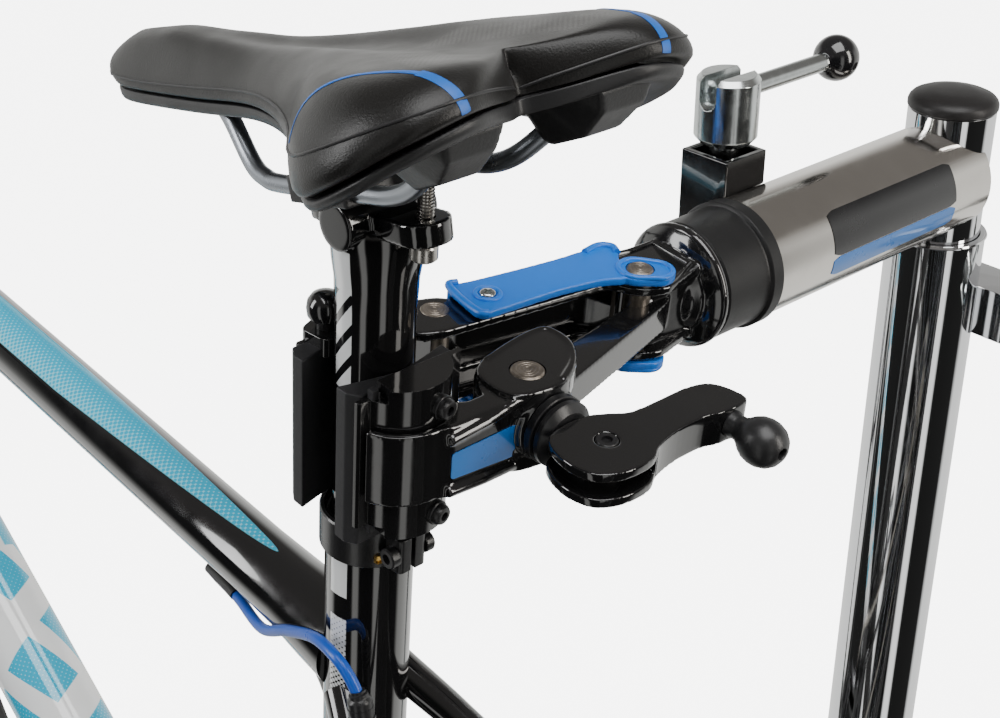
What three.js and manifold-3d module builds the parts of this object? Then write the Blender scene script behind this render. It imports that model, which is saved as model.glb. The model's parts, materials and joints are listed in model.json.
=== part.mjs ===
// A mountain bicycle held by its seatpost in a floor-standing repair stand.
// Millimetres, +Z up. The origin is on the floor, under the axis of the stand's post.
// +X is the way the bicycle faces, +Y runs from the post out along the stand's arm.
import * as THREE from "three";
import { mergeVertices } from "three/addons/utils/BufferGeometryUtils.js";
import Module from "manifold-3d";

const wasm = await Module();
wasm.setup();

// ---- driving dimensions -------------------------------------------------------------------

const GAP = 0.3; // clearance between pieces that touch on the real object
const deg = THREE.MathUtils.degToRad;

// stand
const ARM_HEIGHT = 1150; // arm axis above the floor, mast fully lowered
const PLATE_SIZE = 600;
const PLATE_THICK = 20;
const PLATE_CORNER = 25;
const PLATE_SHIFT = 130; // the post stands behind the plate's middle, under the load
const LOWER_POST_R = 25.4;
const UPPER_POST_R = 22.225;
const TUBE_WALL = 3.05;
const LOWER_POST_DROP = 31.4; // lower post's rim below the arm axis
const UPPER_POST_RISE = 36; // upper post's rim above the arm axis
const UPPER_POST_LENGTH = 760;
const ARM_R = 28.575;
const ARM_END = 164.5;
const LUG_SIZE = 28; // square tube that holds each locking screw
const SLEEVE_R = 28;
const SLEEVE_END = 199.6;

// clamp head
const CLAMP_REACH = 375.3; // seatpost axis out from the post axis
const SEATPOST_LEAN = deg(5.47);
const SHAFT_R = 21;
const FLANGE_R = 29;
const CASTING_TOP = 18; // half height of the casting
const CASTING_WALL = 4;
const CAM_PIN = new THREE.Vector2(-7, -137.5);
const LINK_PIN = new THREE.Vector2(24, -50);
const JAW_PIN = new THREE.Vector2(-32, -50);
const PAD_TOP = 28.5;
const PAD_BOTTOM = -40;
const CRANK_HALF = 7.75;

// bicycle, in its riding frame: origin at the bottom bracket, x forward, y left, z up
const BIKE_PITCH = deg(11); // it hangs nose-down
const SEAT_ANGLE_LEAN = deg(16.47);
const CLAMP_ON_SEATPOST = 565; // clamp height above the bottom bracket, along the seat tube
const SEATPOST_R = 15.45;
const SEAT_TUBE_R = 18.2;
const SEAT_TUBE_LENGTH = 521;
const TOP_TUBE_JOINT = 441;
const TOP_TUBE_R = 16.75;
const DOWN_TUBE_R = 25;
const HEAD_LEAN = deg(21);
const HEAD_CENTRE = new THREE.Vector3(495, 0, 577.5);
const HEAD_HALF = 60;
const HEAD_TUBE_R = 25;
const BB_SHELL_R = 22;
const BB_HALF = 36.5;
const FORK_AXLE_DROP = 570; // front axle below the head tube's middle, along the steering axis
const FORK_OFFSET = 46;
const LEG_SPREAD = 65;
const LEG_FORWARD = 18;
const REAR_AXLE = new THREE.Vector3(-441, 0, 60);
const TYRE_RING_R = 340;
const TYRE_SECTION_R = 28;
const CRANK_LENGTH = 175;
const CHAINLINE = -53;
const CHAINRING_R = 64;
const COG_R = 32;
const PULLEY_R = 19;

// saddle, in its own frame: origin on the rails over the seatpost head, x forward, z up
const SADDLE_PITCH = deg(12.8);
const SADDLE_ORIGIN = new THREE.Vector3(0, CLAMP_REACH, 100);
const SADDLE_NOSE = 163;
const SADDLE_TAIL = -117;
const RAIL_R = 3.5;

// ---- materials ----------------------------------------------------------------------------

function finish(color, roughness, metalness = 0) {
  return new THREE.MeshStandardMaterial({ color, roughness, metalness });
}
const chrome = finish(0xc9cbcf, 0.12, 1);
const nickel = finish(0x8d8780, 0.25, 1);
const zinc = finish(0xb7bbb8, 0.3, 1);
const plateSteel = finish(0x2a2b2d, 0.55, 0.4);
const glossBlack = finish(0x0b0b0c, 0.15, 0.1);
const mattBlack = finish(0x1c1c1d, 0.6);
const padRubber = finish(0x232326, 0.75);
const leverBlue = finish(0x3b8fd6, 0.35);
const pinSteel = finish(0x8c8074, 0.4, 1);
const frameBlack = finish(0x0d0e10, 0.2);
const frameWhite = finish(0xe6ebec, 0.25);
const saddleBlack = finish(0x201f1f, 0.65);
const shellBlack = finish(0x121213, 0.5);
const gunmetal = finish(0x55585c, 0.3, 1);
const tyreRubber = finish(0x191919, 0.85);
const alloyBlack = finish(0x18191b, 0.35, 0.6);
const alloySilver = finish(0xa4a7aa, 0.3, 1);
const chainSteel = finish(0x77746f, 0.35, 1);
const cableBlue = finish(0x1a62b8, 0.4);

// ---- shape helpers ------------------------------------------------------------------------

// A closed geometry as a manifold solid, turned outwards if its faces point in.
function solid(geometry) {
  const bare = geometry.index ? geometry.toNonIndexed() : geometry.clone();
  bare.deleteAttribute("normal");
  bare.deleteAttribute("uv");
  const merged = mergeVertices(bare, 1e-3);
  const corners = [];
  for (let i = 0; i < merged.index.count; i += 3) {
    const [a, b, c] = merged.index.array.slice(i, i + 3);
    if (a !== b && b !== c && c !== a) corners.push([a, b, c]);
  }
  const vertProperties = new Float32Array(merged.attributes.position.array);
  const build = (faces) => {
    const triVerts = new Uint32Array(faces.flat());
    return new wasm.Manifold(new wasm.Mesh({ numProp: 3, vertProperties, triVerts }));
  };
  const made = build(corners);
  return made.volume() < 0 ? build(corners.map(([a, b, c]) => [a, c, b])) : made;
}

function join(...solids) {
  return solids.reduce((sum, next) => sum.add(next));
}

function geometryOf(made) {
  const mesh = made.getMesh();
  const geometry = new THREE.BufferGeometry();
  geometry.setAttribute("position", new THREE.BufferAttribute(new Float32Array(mesh.vertProperties), 3));
  geometry.setIndex(new THREE.BufferAttribute(new Uint32Array(mesh.triVerts), 1));
  const flat = geometry.toNonIndexed();
  flat.computeVertexNormals();
  return flat;
}

function part(group, name, made, material) {
  const mesh = new THREE.Mesh(geometryOf(made), material.clone());
  mesh.name = name;
  group.add(mesh);
  return mesh;
}

const v3 = (x, y, z) => new THREE.Vector3(x, y, z);

// Turns a geometry made along +Z so that it starts at `from` and runs towards `to`.
function aim(geometry, from, to) {
  const along = to.clone().sub(from).normalize();
  const turn = new THREE.Quaternion().setFromUnitVectors(v3(0, 0, 1), along);
  return geometry.applyQuaternion(turn).translate(from.x, from.y, from.z);
}

function rod(from, to, radius, sides = 16, endRadius = radius) {
  const length = from.distanceTo(to);
  const shape = new THREE.CylinderGeometry(endRadius, radius, length, sides);
  shape.rotateX(Math.PI / 2).translate(0, 0, length / 2);
  return solid(aim(shape, from, to));
}

// A solid of revolution: profile points are [radius, height], round the axis from -> to.
function turned(profile, from, to, sides = 24) {
  const points = profile.map(([r, h]) => new THREE.Vector2(r, h));
  const shape = new THREE.LatheGeometry(points, sides).rotateX(Math.PI / 2);
  return solid(aim(shape, from, to));
}

function pipe(from, to, radius, bore, sides = 24) {
  const length = from.distanceTo(to);
  return turned(
    [
      [bore, 0],
      [radius, 0],
      [radius, length],
      [bore, length],
      [bore, 0],
    ],
    from,
    to,
    sides,
  );
}

function block(x0, x1, y0, y1, z0, z1) {
  const shape = new THREE.BoxGeometry(x1 - x0, y1 - y0, z1 - z0);
  return solid(shape.translate((x0 + x1) / 2, (y0 + y1) / 2, (z0 + z1) / 2));
}

// A flat plate between two heights, from an outline of [x, y] points.
function plate(outline, z0, z1) {
  const shape = new THREE.Shape(outline.map(([x, y]) => new THREE.Vector2(x, y)));
  const made = new THREE.ExtrudeGeometry(shape, { depth: z1 - z0, bevelEnabled: false });
  return solid(made.translate(0, 0, z0));
}

// A plate standing in the x-z plane, between two y values.
function upright(outline, y0, y1) {
  const shape = new THREE.Shape(outline.map(([x, z]) => new THREE.Vector2(x, z)));
  const made = new THREE.ExtrudeGeometry(shape, { depth: y1 - y0, bevelEnabled: false });
  return solid(made.rotateX(Math.PI / 2).translate(0, y1, 0));
}

// A round bar or hollow tube swept along a smooth curve.
function swept(points, radius, { bore = 0, sides = 10, steps = 16, closed = false } = {}) {
  const path = new THREE.CatmullRomCurve3(points, closed, "centripetal");
  const section = new THREE.Shape().absarc(0, 0, radius, 0, 2 * Math.PI);
  if (bore) section.holes.push(new THREE.Path().absarc(0, 0, bore, 0, 2 * Math.PI));
  const options = { steps, curveSegments: sides / 2, bevelEnabled: false, extrudePath: path };
  return solid(new THREE.ExtrudeGeometry(section, options));
}

function disc(centre, radius, sides = 16) {
  return Array.from({ length: sides }, (_, i) => {
    const a = (2 * Math.PI * i) / sides;
    return [centre.x + radius * Math.cos(a), centre.y + radius * Math.sin(a)];
  });
}

const mirrorY = (made) => made.mirror([0, 1, 0]);

// A solid bar of two round ends: the hull of two discs, as a plate.
function slotOutline(a, ra, b, rb, sides = 8) {
  const heading = Math.atan2(b.y - a.y, b.x - a.x);
  const tilt = Math.asin((ra - rb) / a.distanceTo(b));
  const arc = (centre, radius, start, end) =>
    Array.from({ length: sides + 1 }, (_, i) => {
      const angle = start + ((end - start) * i) / sides;
      return [centre.x + radius * Math.cos(angle), centre.y + radius * Math.sin(angle)];
    });
  const quarter = Math.PI / 2;
  const near = arc(b, rb, heading - quarter + tilt, heading + quarter - tilt);
  const far = arc(a, ra, heading + quarter - tilt, heading + 3 * quarter + tilt);
  return [...near, ...far];
}

// ---- stand --------------------------------------------------------------------------------

function roundedSquare(half, corner, shift) {
  const sides = [
    [half - corner, half - corner, 0],
    [-half + corner, half - corner, 1],
    [-half + corner, -half + corner, 2],
    [half - corner, -half + corner, 3],
  ];
  return sides.flatMap(([x, y, quarter]) =>
    [0, 0.5, 1].map((t) => {
      const a = ((quarter + t) * Math.PI) / 2;
      return [x + corner * Math.cos(a), y + shift + corner * Math.sin(a)];
    }),
  );
}

function basePlate() {
  return plate(roundedSquare(PLATE_SIZE / 2, PLATE_CORNER, PLATE_SHIFT), 0, PLATE_THICK);
}

const SOCKET_FOOT_R = 72;
const SOCKET_HEIGHT = 65;
const SOCKET_BOLT_RING = 56;

// The flanged sleeve that holds the post upright on the plate, with four hexagon bolts.
function postSocket() {
  const bore = LOWER_POST_R + GAP;
  const collar = turned(
    [
      [bore, 0],
      [SOCKET_FOOT_R, 0],
      [SOCKET_FOOT_R, 9],
      [36, 13],
      [33, SOCKET_HEIGHT - 3],
      [31, SOCKET_HEIGHT],
      [bore, SOCKET_HEIGHT],
      [bore, 0],
    ],
    v3(0, 0, PLATE_THICK + GAP),
    v3(0, 0, 100),
    24,
  );
  const bolts = [0, 1, 2, 3].map((i) => {
    const a = Math.PI / 4 + (i * Math.PI) / 2;
    const foot = v3(SOCKET_BOLT_RING * Math.cos(a), SOCKET_BOLT_RING * Math.sin(a), PLATE_THICK + 4);
    return rod(foot, foot.clone().setZ(PLATE_THICK + 18), 9, 6);
  });
  return join(collar, ...bolts);
}

function lowerPost() {
  const top = ARM_HEIGHT - LOWER_POST_DROP;
  return pipe(v3(0, 0, PLATE_THICK + GAP), v3(0, 0, top), LOWER_POST_R, UPPER_POST_R + 2 * GAP, 24);
}

// A square tube across the back of the lower post, under its rim.
const HEIGHT_LUG_Z = ARM_HEIGHT - 78;
const HEIGHT_LUG_Y = -31;
const HEIGHT_LUG_X = [-46, 40];

function squareTube(x0, x1, y, z) {
  const half = LUG_SIZE / 2;
  const inner = half - 3;
  const outer = block(x0, x1, y - half, y + half, z - half, z + half);
  return outer.subtract(block(x0 - 1, x1 + 1, y - inner, y + inner, z - inner, z + inner));
}

function heightLug() {
  const tube = squareTube(...HEIGHT_LUG_X, HEIGHT_LUG_Y, HEIGHT_LUG_Z);
  const post = rod(v3(0, 0, HEIGHT_LUG_Z - 40), v3(0, 0, HEIGHT_LUG_Z + 40), LOWER_POST_R + GAP, 24);
  return tube.subtract(post);
}

// The screw that draws a lug tight, along its own +Z: threaded stud, neck and slotted barrel.
const BARREL_R = 15;
const BARREL_START = 4;
const BARREL_END = 37;
const LEVER_R = 4.6;
const LEVER_SEAT = 27; // height of the lever's pivot in the barrel

function lockBarrel() {
  const body = turned(
    [
      [0, -22],
      [5, -22],
      [5, -4],
      [7, -4],
      [7, BARREL_START],
      [12.5, BARREL_START],
      [BARREL_R, BARREL_START + 3],
      [BARREL_R, BARREL_END - 2],
      [BARREL_R - 2, BARREL_END],
      [0, BARREL_END],
    ],
    v3(0, 0, 0),
    v3(0, 0, 1),
    14,
  );
  const slotHalf = LEVER_R + GAP;
  const floor = LEVER_SEAT - slotHalf;
  return body.subtract(block(-slotHalf, slotHalf, -BARREL_R - 1, BARREL_R + 1, floor, BARREL_END + 1));
}

const LEVER_LENGTH = 80;
const BALL_R = 11.4;

// The lever swings up out of the slot about its rounded end.
function lockLever() {
  const eye = solid(new THREE.SphereGeometry(LEVER_R, 10, 8).translate(0, 0, LEVER_SEAT));
  return eye.add(rod(v3(0, 0, LEVER_SEAT), v3(0, -LEVER_LENGTH + 2, LEVER_SEAT), LEVER_R, 10));
}

function leverBall() {
  return solid(new THREE.SphereGeometry(BALL_R, 12, 8).translate(0, -LEVER_LENGTH, LEVER_SEAT));
}

// The arm's ball is bored to screw on over the lever's end.
function boredBall() {
  const bore = rod(v3(0, -LEVER_LENGTH + 1, LEVER_SEAT), v3(0, 0, LEVER_SEAT), LEVER_R + GAP, 10);
  return leverBall().subtract(bore);
}

function upperPost() {
  const top = ARM_HEIGHT + UPPER_POST_RISE;
  return pipe(v3(0, 0, top - UPPER_POST_LENGTH), v3(0, 0, top), UPPER_POST_R, UPPER_POST_R - TUBE_WALL, 24);
}

function postCap() {
  const r = UPPER_POST_R;
  return turned(
    [
      [0, -14],
      [r - TUBE_WALL - GAP, -14],
      [r - TUBE_WALL - GAP, GAP],
      [r, GAP],
      [r + 0.4, 3],
      [r - 1.5, 6.5],
      [r - 8, 8.2],
      [0, 8.8],
    ],
    v3(0, 0, ARM_HEIGHT + UPPER_POST_RISE),
    v3(0, 0, 2000),
    18,
  );
}

// The arm: a tube coped round the upper post.
function armTube() {
  const tube = pipe(v3(0, 0, 0), v3(0, ARM_END, 0), ARM_R, ARM_R - TUBE_WALL, 28);
  return tube.subtract(rod(v3(0, 0, -60), v3(0, 0, 60), UPPER_POST_R + GAP, 24));
}

// The arm's locking lug stands against its far side, with its mouth up.
const LOCK_LUG = v3(31, 140, 0);
const LOCK_LUG_TOP = 40;

function lockLug() {
  const half = LUG_SIZE / 2;
  const inner = half - 3;
  const { x, y } = LOCK_LUG;
  const outer = block(x - half, x + half, y - half, y + half, -LOCK_LUG_TOP, LOCK_LUG_TOP);
  const hollow = block(x - inner, x + inner, y - inner, y + inner, -LOCK_LUG_TOP - 1, LOCK_LUG_TOP + 1);
  const arm = rod(v3(0, 60, 0), v3(0, 180, 0), ARM_R + GAP, 28);
  return outer.subtract(hollow).subtract(arm);
}

function armBushing() {
  const bore = SHAFT_R + GAP;
  const length = SLEEVE_END - ARM_END;
  return turned(
    [
      [bore, -36],
      [ARM_R - TUBE_WALL - GAP, -36],
      [ARM_R - TUBE_WALL - GAP, GAP],
      [ARM_R + 1.2, GAP],
      [ARM_R + 1.2, 8],
      [SLEEVE_R, 9],
      [SLEEVE_R, length],
      [bore, length],
      [bore, -36],
    ],
    v3(0, ARM_END, 0),
    v3(0, 500, 0),
    24,
  );
}

// ---- clamp head: origin on the arm axis, z along the seatpost --------------------------------

const pinHole = (pin, radius) => rod(v3(pin.x, pin.y, -60), v3(pin.x, pin.y, 60), radius + GAP, 14);
const pinRod = (pin, half, radius) => rod(v3(pin.x, pin.y, -half), v3(pin.x, pin.y, half), radius, 14);
const CAM_PIN_R = 6;
const LINK_PIN_R = 6.5;
const JAW_PIN_R = 7;
const HOLDER_AXIS = new THREE.Vector2(-17, 2); // near jaw's holder turns about this
const HOLDER_R = 20;
const FAR_HOLDER_AXIS = new THREE.Vector2(17, 2);
const FAR_HOLDER_R = 13;
const STRUT_ROOT = new THREE.Vector2(-11, -146);
const STRUT_HALF = 7.5;
const JAW_SWING = 15; // degrees the near jaw opens

// The casting: a channel open towards the near side, on a flanged shaft.
function clampBody() {
  const cover = [
    [-14, -171],
    [-20, -143],
    [-14, -131],
    [-2, -125],
    [2, -91],
    [6.5, -58],
    [9, -40],
    [14, -31],
    [34, -31],
    [36.5, -46],
    [32, -58],
    [26.5, -62],
    [15.5, -125],
    [13, -150],
    [14, -171],
  ];
  const wall = [
    [14, -171],
    [13, -150],
    [15.5, -125],
    [26.5, -62],
    [32, -58],
    [36.5, -46],
    [36.5, 6],
    [31, 14],
    [24.5, 6],
    [24.5, -26],
    [18, -31],
    [21.5, -60],
    [11.5, -122],
    [2, -138],
    [-12, -138],
    [-14, -171],
  ];
  const inside = CASTING_TOP - CASTING_WALL;
  const flange = turned(
    [
      [0, 0],
      [FLANGE_R - 2, 0],
      [FLANGE_R, 2],
      [FLANGE_R, 4],
      [FLANGE_R - 6, 6.5],
      [0, 6.5],
    ],
    v3(0, SLEEVE_END + GAP - CLAMP_REACH, 0),
    v3(0, 0, 0),
    24,
  );
  const shaft = rod(v3(0, 70 - CLAMP_REACH, 0), v3(0, -172, 0), SHAFT_R, 16);
  const strut = plate(slotOutline(STRUT_ROOT, 5.5, JAW_PIN, JAW_PIN_R + 3), -STRUT_HALF, STRUT_HALF);
  const top = plate(cover, inside, CASTING_TOP);
  const bottom = plate(cover, -CASTING_TOP, -inside);
  const body = join(plate(wall, -inside - 1, inside + 1), top, bottom, flange, shaft, strut);
  const holderSeat = rod(v3(...FAR_HOLDER_AXIS, -60), v3(...FAR_HOLDER_AXIS, 60), FAR_HOLDER_R + GAP, 16);
  return body
    .subtract(holderSeat)
    .subtract(pinHole(CAM_PIN, CAM_PIN_R))
    .subtract(pinHole(LINK_PIN, LINK_PIN_R))
    .subtract(pinHole(JAW_PIN, JAW_PIN_R));
}

const LEVER_TOP = 23.5;
const LEVER_UNDER = 19;

// The quick-release handle: two legs over and under the casting, joined behind it.
function camHandle() {
  const leg = [
    [4, -57],
    [30.5, -61],
    [27.5, -72],
    [23.5, -95],
    [20.5, -115],
    [18.5, -139],
    [14, -142.5],
    [8, -140],
    [2, -134],
    [-10.5, -129],
    [-4, -118],
    [0.5, -98],
    [2.5, -76],
  ];
  const eye = slotOutline(new THREE.Vector2(-6, -136), 9, new THREE.Vector2(-12, -142.5), 8);
  const back = [
    [30.5, -61],
    [27.5, -72],
    [23.5, -95],
    [20.5, -115],
    [18.3, -113],
    [21.6, -94],
    [28, -61.5],
  ];
  const legs = [
    plate(leg, LEVER_UNDER, LEVER_TOP).add(plate(eye, LEVER_UNDER, LEVER_TOP)),
    plate(leg, -LEVER_TOP, -LEVER_UNDER).add(plate(eye, -LEVER_TOP, -LEVER_UNDER)),
  ];
  return join(...legs, plate(back, -LEVER_TOP, LEVER_TOP)).subtract(pinHole(CAM_PIN, CAM_PIN_R));
}

function arcPoints(centre, radius, startDeg, endDeg, count) {
  return Array.from({ length: count + 1 }, (_, i) => {
    const a = deg(startDeg + ((endDeg - startDeg) * i) / count);
    return [centre.x + radius * Math.cos(a), centre.y + radius * Math.sin(a)];
  });
}

// The jaw arm: a fork round the strut's eye, reaching out to a band that carries the near holder.
function jawArm() {
  const band = [
    ...arcPoints(HOLDER_AXIS, HOLDER_R + 4, 112, 180, 6),
    [-42.5, -4],
    [-42.5, -37],
    [-46, -44],
    [-46, -56],
    [-38, -68],
    [-14, -60],
    [-14, -41],
    [-20, -33],
    [-31.8, -27],
    [-31.8, -20],
    ...arcPoints(HOLDER_AXIS, HOLDER_R + 0.8, 234, 112, 7),
  ];
  const fork = [
    [-46, -58],
    [-38, -70],
    [-27, -78],
    [-16, -80],
    [-11, -76],
    [-11, -62],
    [-15, -40],
    [-22, -33],
    [-42.5, -33],
    [-46, -44],
  ];
  const boss = rod(v3(-47, JAW_PIN.y, 0), v3(-38, JAW_PIN.y, 0), 15, 16);
  const body = join(plate(band, -16, 16), plate(fork, -CASTING_TOP, CASTING_TOP), boss);
  const room = [0, 0.5, 1].map((t) => {
    const open = deg(-JAW_SWING * t);
    const root = STRUT_ROOT.clone().rotateAround(JAW_PIN, open);
    return plate(slotOutline(root, 6.2, JAW_PIN, JAW_PIN_R + 3.6, 5), -STRUT_HALF - GAP, STRUT_HALF + GAP);
  });
  return body.subtract(join(...room)).subtract(pinHole(JAW_PIN, JAW_PIN_R));
}

const HOLDER_BACKING = 21.4; // face of a holder's plate, behind its pad
const PAD_BACKING = 21;

// A plate behind the pad, with a round back that turns in its jaw.
function holder(axis, radius, side, [y0, y1], [z0, z1]) {
  const face = side * HOLDER_BACKING;
  const back = face + side * 2.6;
  const flangePlate = [
    [face, y0],
    [face, y1],
    [back, y1 - 2],
    [back, y0 + 2],
  ];
  const barrel = plate(disc(axis, radius, 20), z0, z1);
  const front = block(Math.min(face, -side * 60), Math.max(face, -side * 60), -60, 60, -80, 80);
  return plate(flangePlate, z0, z1).add(barrel.subtract(front));
}

// A rubber pad with a shallow vee that closes on the seatpost.
function jawPad(side) {
  const chamfer = PAD_BACKING - 4.7;
  const outline = [
    [10.3, 26],
    [chamfer, 26],
    [PAD_BACKING, 23],
    [PAD_BACKING, -21],
    [chamfer, -24],
    [10.3, -24],
    [16.4, 1],
  ];
  return plate(
    outline.map(([x, y]) => [side * x, y]),
    PAD_BOTTOM,
    PAD_TOP,
  );
}

// Thrust washers and the flat tongue that the crank folds on.
function adjusterScrew() {
  const start = v3(-47.3, JAW_PIN.y, 0);
  const washers = turned(
    [
      [0, 0],
      [14.5, 0],
      [14.5, 3.4],
      [12.6, 3.4],
      [12.6, 4.6],
      [14, 4.6],
      [14, 7.4],
      [10.5, 9.4],
      [0, 9.4],
    ],
    start,
    start.clone().setX(-100),
    14,
  );
  return washers.add(block(-80, -56, JAW_PIN.y - 9, JAW_PIN.y + 9, -3.2, 3.2));
}

const KNOB_START = v3(-88.3, -109, 0);

function crankArm() {
  const outline = [
    [-58, -41],
    [-62, -34],
    [-79, -30.5],
    [-87, -34],
    [-93, -45],
    [-93, -60],
    [-87.5, -68],
    [-85.5, -80],
    [-85.5, -97],
    [-88, -102],
    [-88, -117],
    [-76, -118],
    [-68.5, -112],
    [-67, -102],
    [-67, -70],
    [-58.5, -62],
  ];
  const fork = block(-100, -50, -64, -20, -3.6, 3.6);
  return plate(outline, -CRANK_HALF, CRANK_HALF).subtract(fork);
}

function crankKnob() {
  return turned(
    [
      [0, 0],
      [5.6, 0],
      [5, 5],
      [7.6, 8.5],
      [9.8, 13],
      [10, 17],
      [8.6, 21.5],
      [5, 25],
      [0, 26],
    ],
    KNOB_START,
    KNOB_START.clone().setX(-200),
    12,
  );
}

const EAR_X = 25.7;
const EAR_TILT = deg(12.4);
const HEAD_Z = 86.5;
const BOLT_R = 3;

function seatpost() {
  const tube = pipe(v3(0, 0, -220), v3(0, 0, 58), SEATPOST_R, SEATPOST_R - 2.5, 24);
  const neck = turned(
    [
      [0, 57],
      [SEATPOST_R, 57],
      [SEATPOST_R, 66],
      [17, 76],
      [16, 86],
      [0, 88],
    ],
    v3(0, 0, 0),
    v3(0, 0, 1),
    24,
  );
  const ends = [new THREE.Vector2(-EAR_X, 0), new THREE.Vector2(EAR_X, 0)];
  const ears = plate(slotOutline(ends[0], 10, ends[1], 9, 5), -3.5, 3.5)
    .rotate([0, THREE.MathUtils.radToDeg(EAR_TILT), 0])
    .translate([0, 0, HEAD_Z]);
  const cradle = rod(v3(0, -20, HEAD_Z), v3(0, 20, HEAD_Z), 9, 12);
  const holes = [-1, 1].map((s) => rod(v3(s * EAR_X, 0, 60), v3(s * EAR_X, 0, 110), BOLT_R + 2 * GAP, 8));
  return join(tube, neck, ears, cradle).subtract(join(...holes));
}

// Height of the rails over the arm axis, measured along the seatpost.
const RAIL_HEIGHT =
  SADDLE_ORIGIN.z / (Math.cos(SEATPOST_LEAN) - Math.sin(SEATPOST_LEAN) * Math.tan(SADDLE_PITCH));
const RAIL_SPREAD = 22;

// Rail cradle with its top plate and two long bolts.
function railClamp() {
  const tilt = SEATPOST_LEAN + SADDLE_PITCH;
  const shift = (RAIL_HEIGHT * Math.sin(SEATPOST_LEAN)) / Math.cos(SADDLE_PITCH);
  const body = join(block(-17, 17, -28, 28, -4.4, 6), block(-32, 32, -9, 9, 5, 9))
    .subtract(saddleRails(RAIL_R + GAP).translate([shift, 0, 0]))
    .rotate([0, THREE.MathUtils.radToDeg(tilt), 0])
    .translate([0, 0, RAIL_HEIGHT]);
  const bolts = [-1, 1].map((s) => {
    const x = s * EAR_X;
    const ear = HEAD_Z - x * Math.tan(EAR_TILT);
    const plateZ = RAIL_HEIGHT + 7 - x * Math.tan(tilt);
    const shank = rod(v3(x, 0, ear - 10), v3(x, 0, plateZ), BOLT_R, 8);
    return shank.add(rod(v3(x, 0, ear - 12), v3(x, 0, ear - 6), 5.2, 8));
  });
  return join(body, ...bolts);
}

// ---- saddle ---------------------------------------------------------------------------------

// Stations from nose to tail: [x, half width, crown height, height of the side edge].
const SADDLE_STATIONS = [
  [SADDLE_NOSE, 7, 42, 31],
  [156, 12, 49, 29],
  [140, 16, 53, 27],
  [105, 19.5, 54.5, 26],
  [70, 22, 51.5, 27],
  [35, 26, 49, 28],
  [5, 33, 48, 27],
  [-20, 44, 48, 23],
  [-40, 58, 48.5, 17],
  [-60, 70, 49, 14],
  [-80, 74, 49, 18],
  [-100, 71, 48, 25],
  [SADDLE_TAIL, 62, 46, 31],
];

function saddleStation(x) {
  const found = SADDLE_STATIONS.findIndex(([station]) => x >= station);
  const next = THREE.MathUtils.clamp(found, 1, SADDLE_STATIONS.length - 1);
  const [before, after] = [SADDLE_STATIONS[next - 1], SADDLE_STATIONS[next]];
  const share = THREE.MathUtils.clamp((x - before[0]) / (after[0] - before[0]), 0, 1);
  const [, width, crown, edge] = before.map((value, i) => THREE.MathUtils.lerp(value, after[i], share));
  return { width, crown, edge };
}

const SADDLE_PARTING = 37; // middle of the shell's top above the rails
const COVER_EDGE = 8; // thickness of the cover along its side

function saddleTop(x, side) {
  const { crown, edge } = saddleStation(x);
  return crown - (crown - edge - COVER_EDGE) * side ** 3;
}

function saddleParting(x, side) {
  const { edge } = saddleStation(x);
  return SADDLE_PARTING - (SADDLE_PARTING - edge) * side ** 1.8;
}

// How far the tail's edge stands forward of its two lobes, at |y| / half width.
function tailNotch(side) {
  const middle = 27 * Math.max(0, 1 - 1.5 * side) ** 1.6;
  const corner = 12 * Math.max(0, 3 * side - 2);
  return middle + corner;
}

// A sheet of the saddle's plan between two height functions of x and |y| / half width.
function saddleSheet(top, bottom) {
  const box = new THREE.BoxGeometry(2, 2, 2, 14, 6, 1);
  const place = box.attributes.position;
  const middle = (SADDLE_NOSE + SADDLE_TAIL) / 2;
  const half = (SADDLE_NOSE - SADDLE_TAIL) / 2;
  for (let i = 0; i < place.count; i++) {
    const x = middle + half * Math.sin((place.getX(i) * Math.PI) / 2);
    const side = place.getY(i);
    const height = place.getZ(i) > 0 ? top : bottom;
    const rear = Math.max(0, (x + 55) / (SADDLE_TAIL + 55)) ** 1.5;
    const shifted = x + rear * tailNotch(Math.abs(side));
    place.setXYZ(i, shifted, side * saddleStation(x).width, height(x, Math.abs(side)));
  }
  return solid(box);
}

function railPath() {
  const side = [
    [-97, 31, 27],
    [-77, 26, 14.5],
    [-60, 23, 4.5],
    [-42, RAIL_SPREAD, 0],
    [-10, RAIL_SPREAD, 0],
    [27, RAIL_SPREAD, 0],
    [40, 20, 6],
    [58, 15, 22],
    [80, 11, 27],
    [104, 8, 28],
  ];
  const near = side.map(([x, y, z]) => v3(x, y, z));
  const far = side.map(([x, y, z]) => v3(x, -y, z)).reverse();
  return [...near, v3(111, 0, 28), ...far];
}

const saddleRails = (radius) => swept(railPath(), radius, { sides: 6, steps: 30 });

const SHELL_DROP = 2.5; // between the cover's underside and the shell
const SHELL_THICK = 3.5;
const SOCKET_TOP = 30;

// The shell under the cover, with a nose block and two rear sockets for the rails.
function saddleShell() {
  const sheet = saddleSheet(
    (x, side) => saddleParting(x, side) - SHELL_DROP,
    (x, side) => saddleParting(x, side) - SHELL_DROP - SHELL_THICK,
  );
  const socket = [
    [-104, SOCKET_TOP],
    [-104, 24],
    [-90, 12],
    [-80, 10],
    [-76, 22],
    [-80, SOCKET_TOP],
  ];
  const sockets = [-39, 23].map((y) => upright(socket, y, y + 16));
  const noseBlock = block(90, 122, -13, 13, 22.5, 28.5);
  return join(sheet, noseBlock, ...sockets).subtract(saddleRails(RAIL_R + 2 * GAP));
}

function saddleCover() {
  return saddleSheet(saddleTop, saddleParting);
}

// ---- bicycle frame --------------------------------------------------------------------------

const seat = (s, y = 0) => v3(-s * Math.sin(SEAT_ANGLE_LEAN), y, s * Math.cos(SEAT_ANGLE_LEAN));

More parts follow.
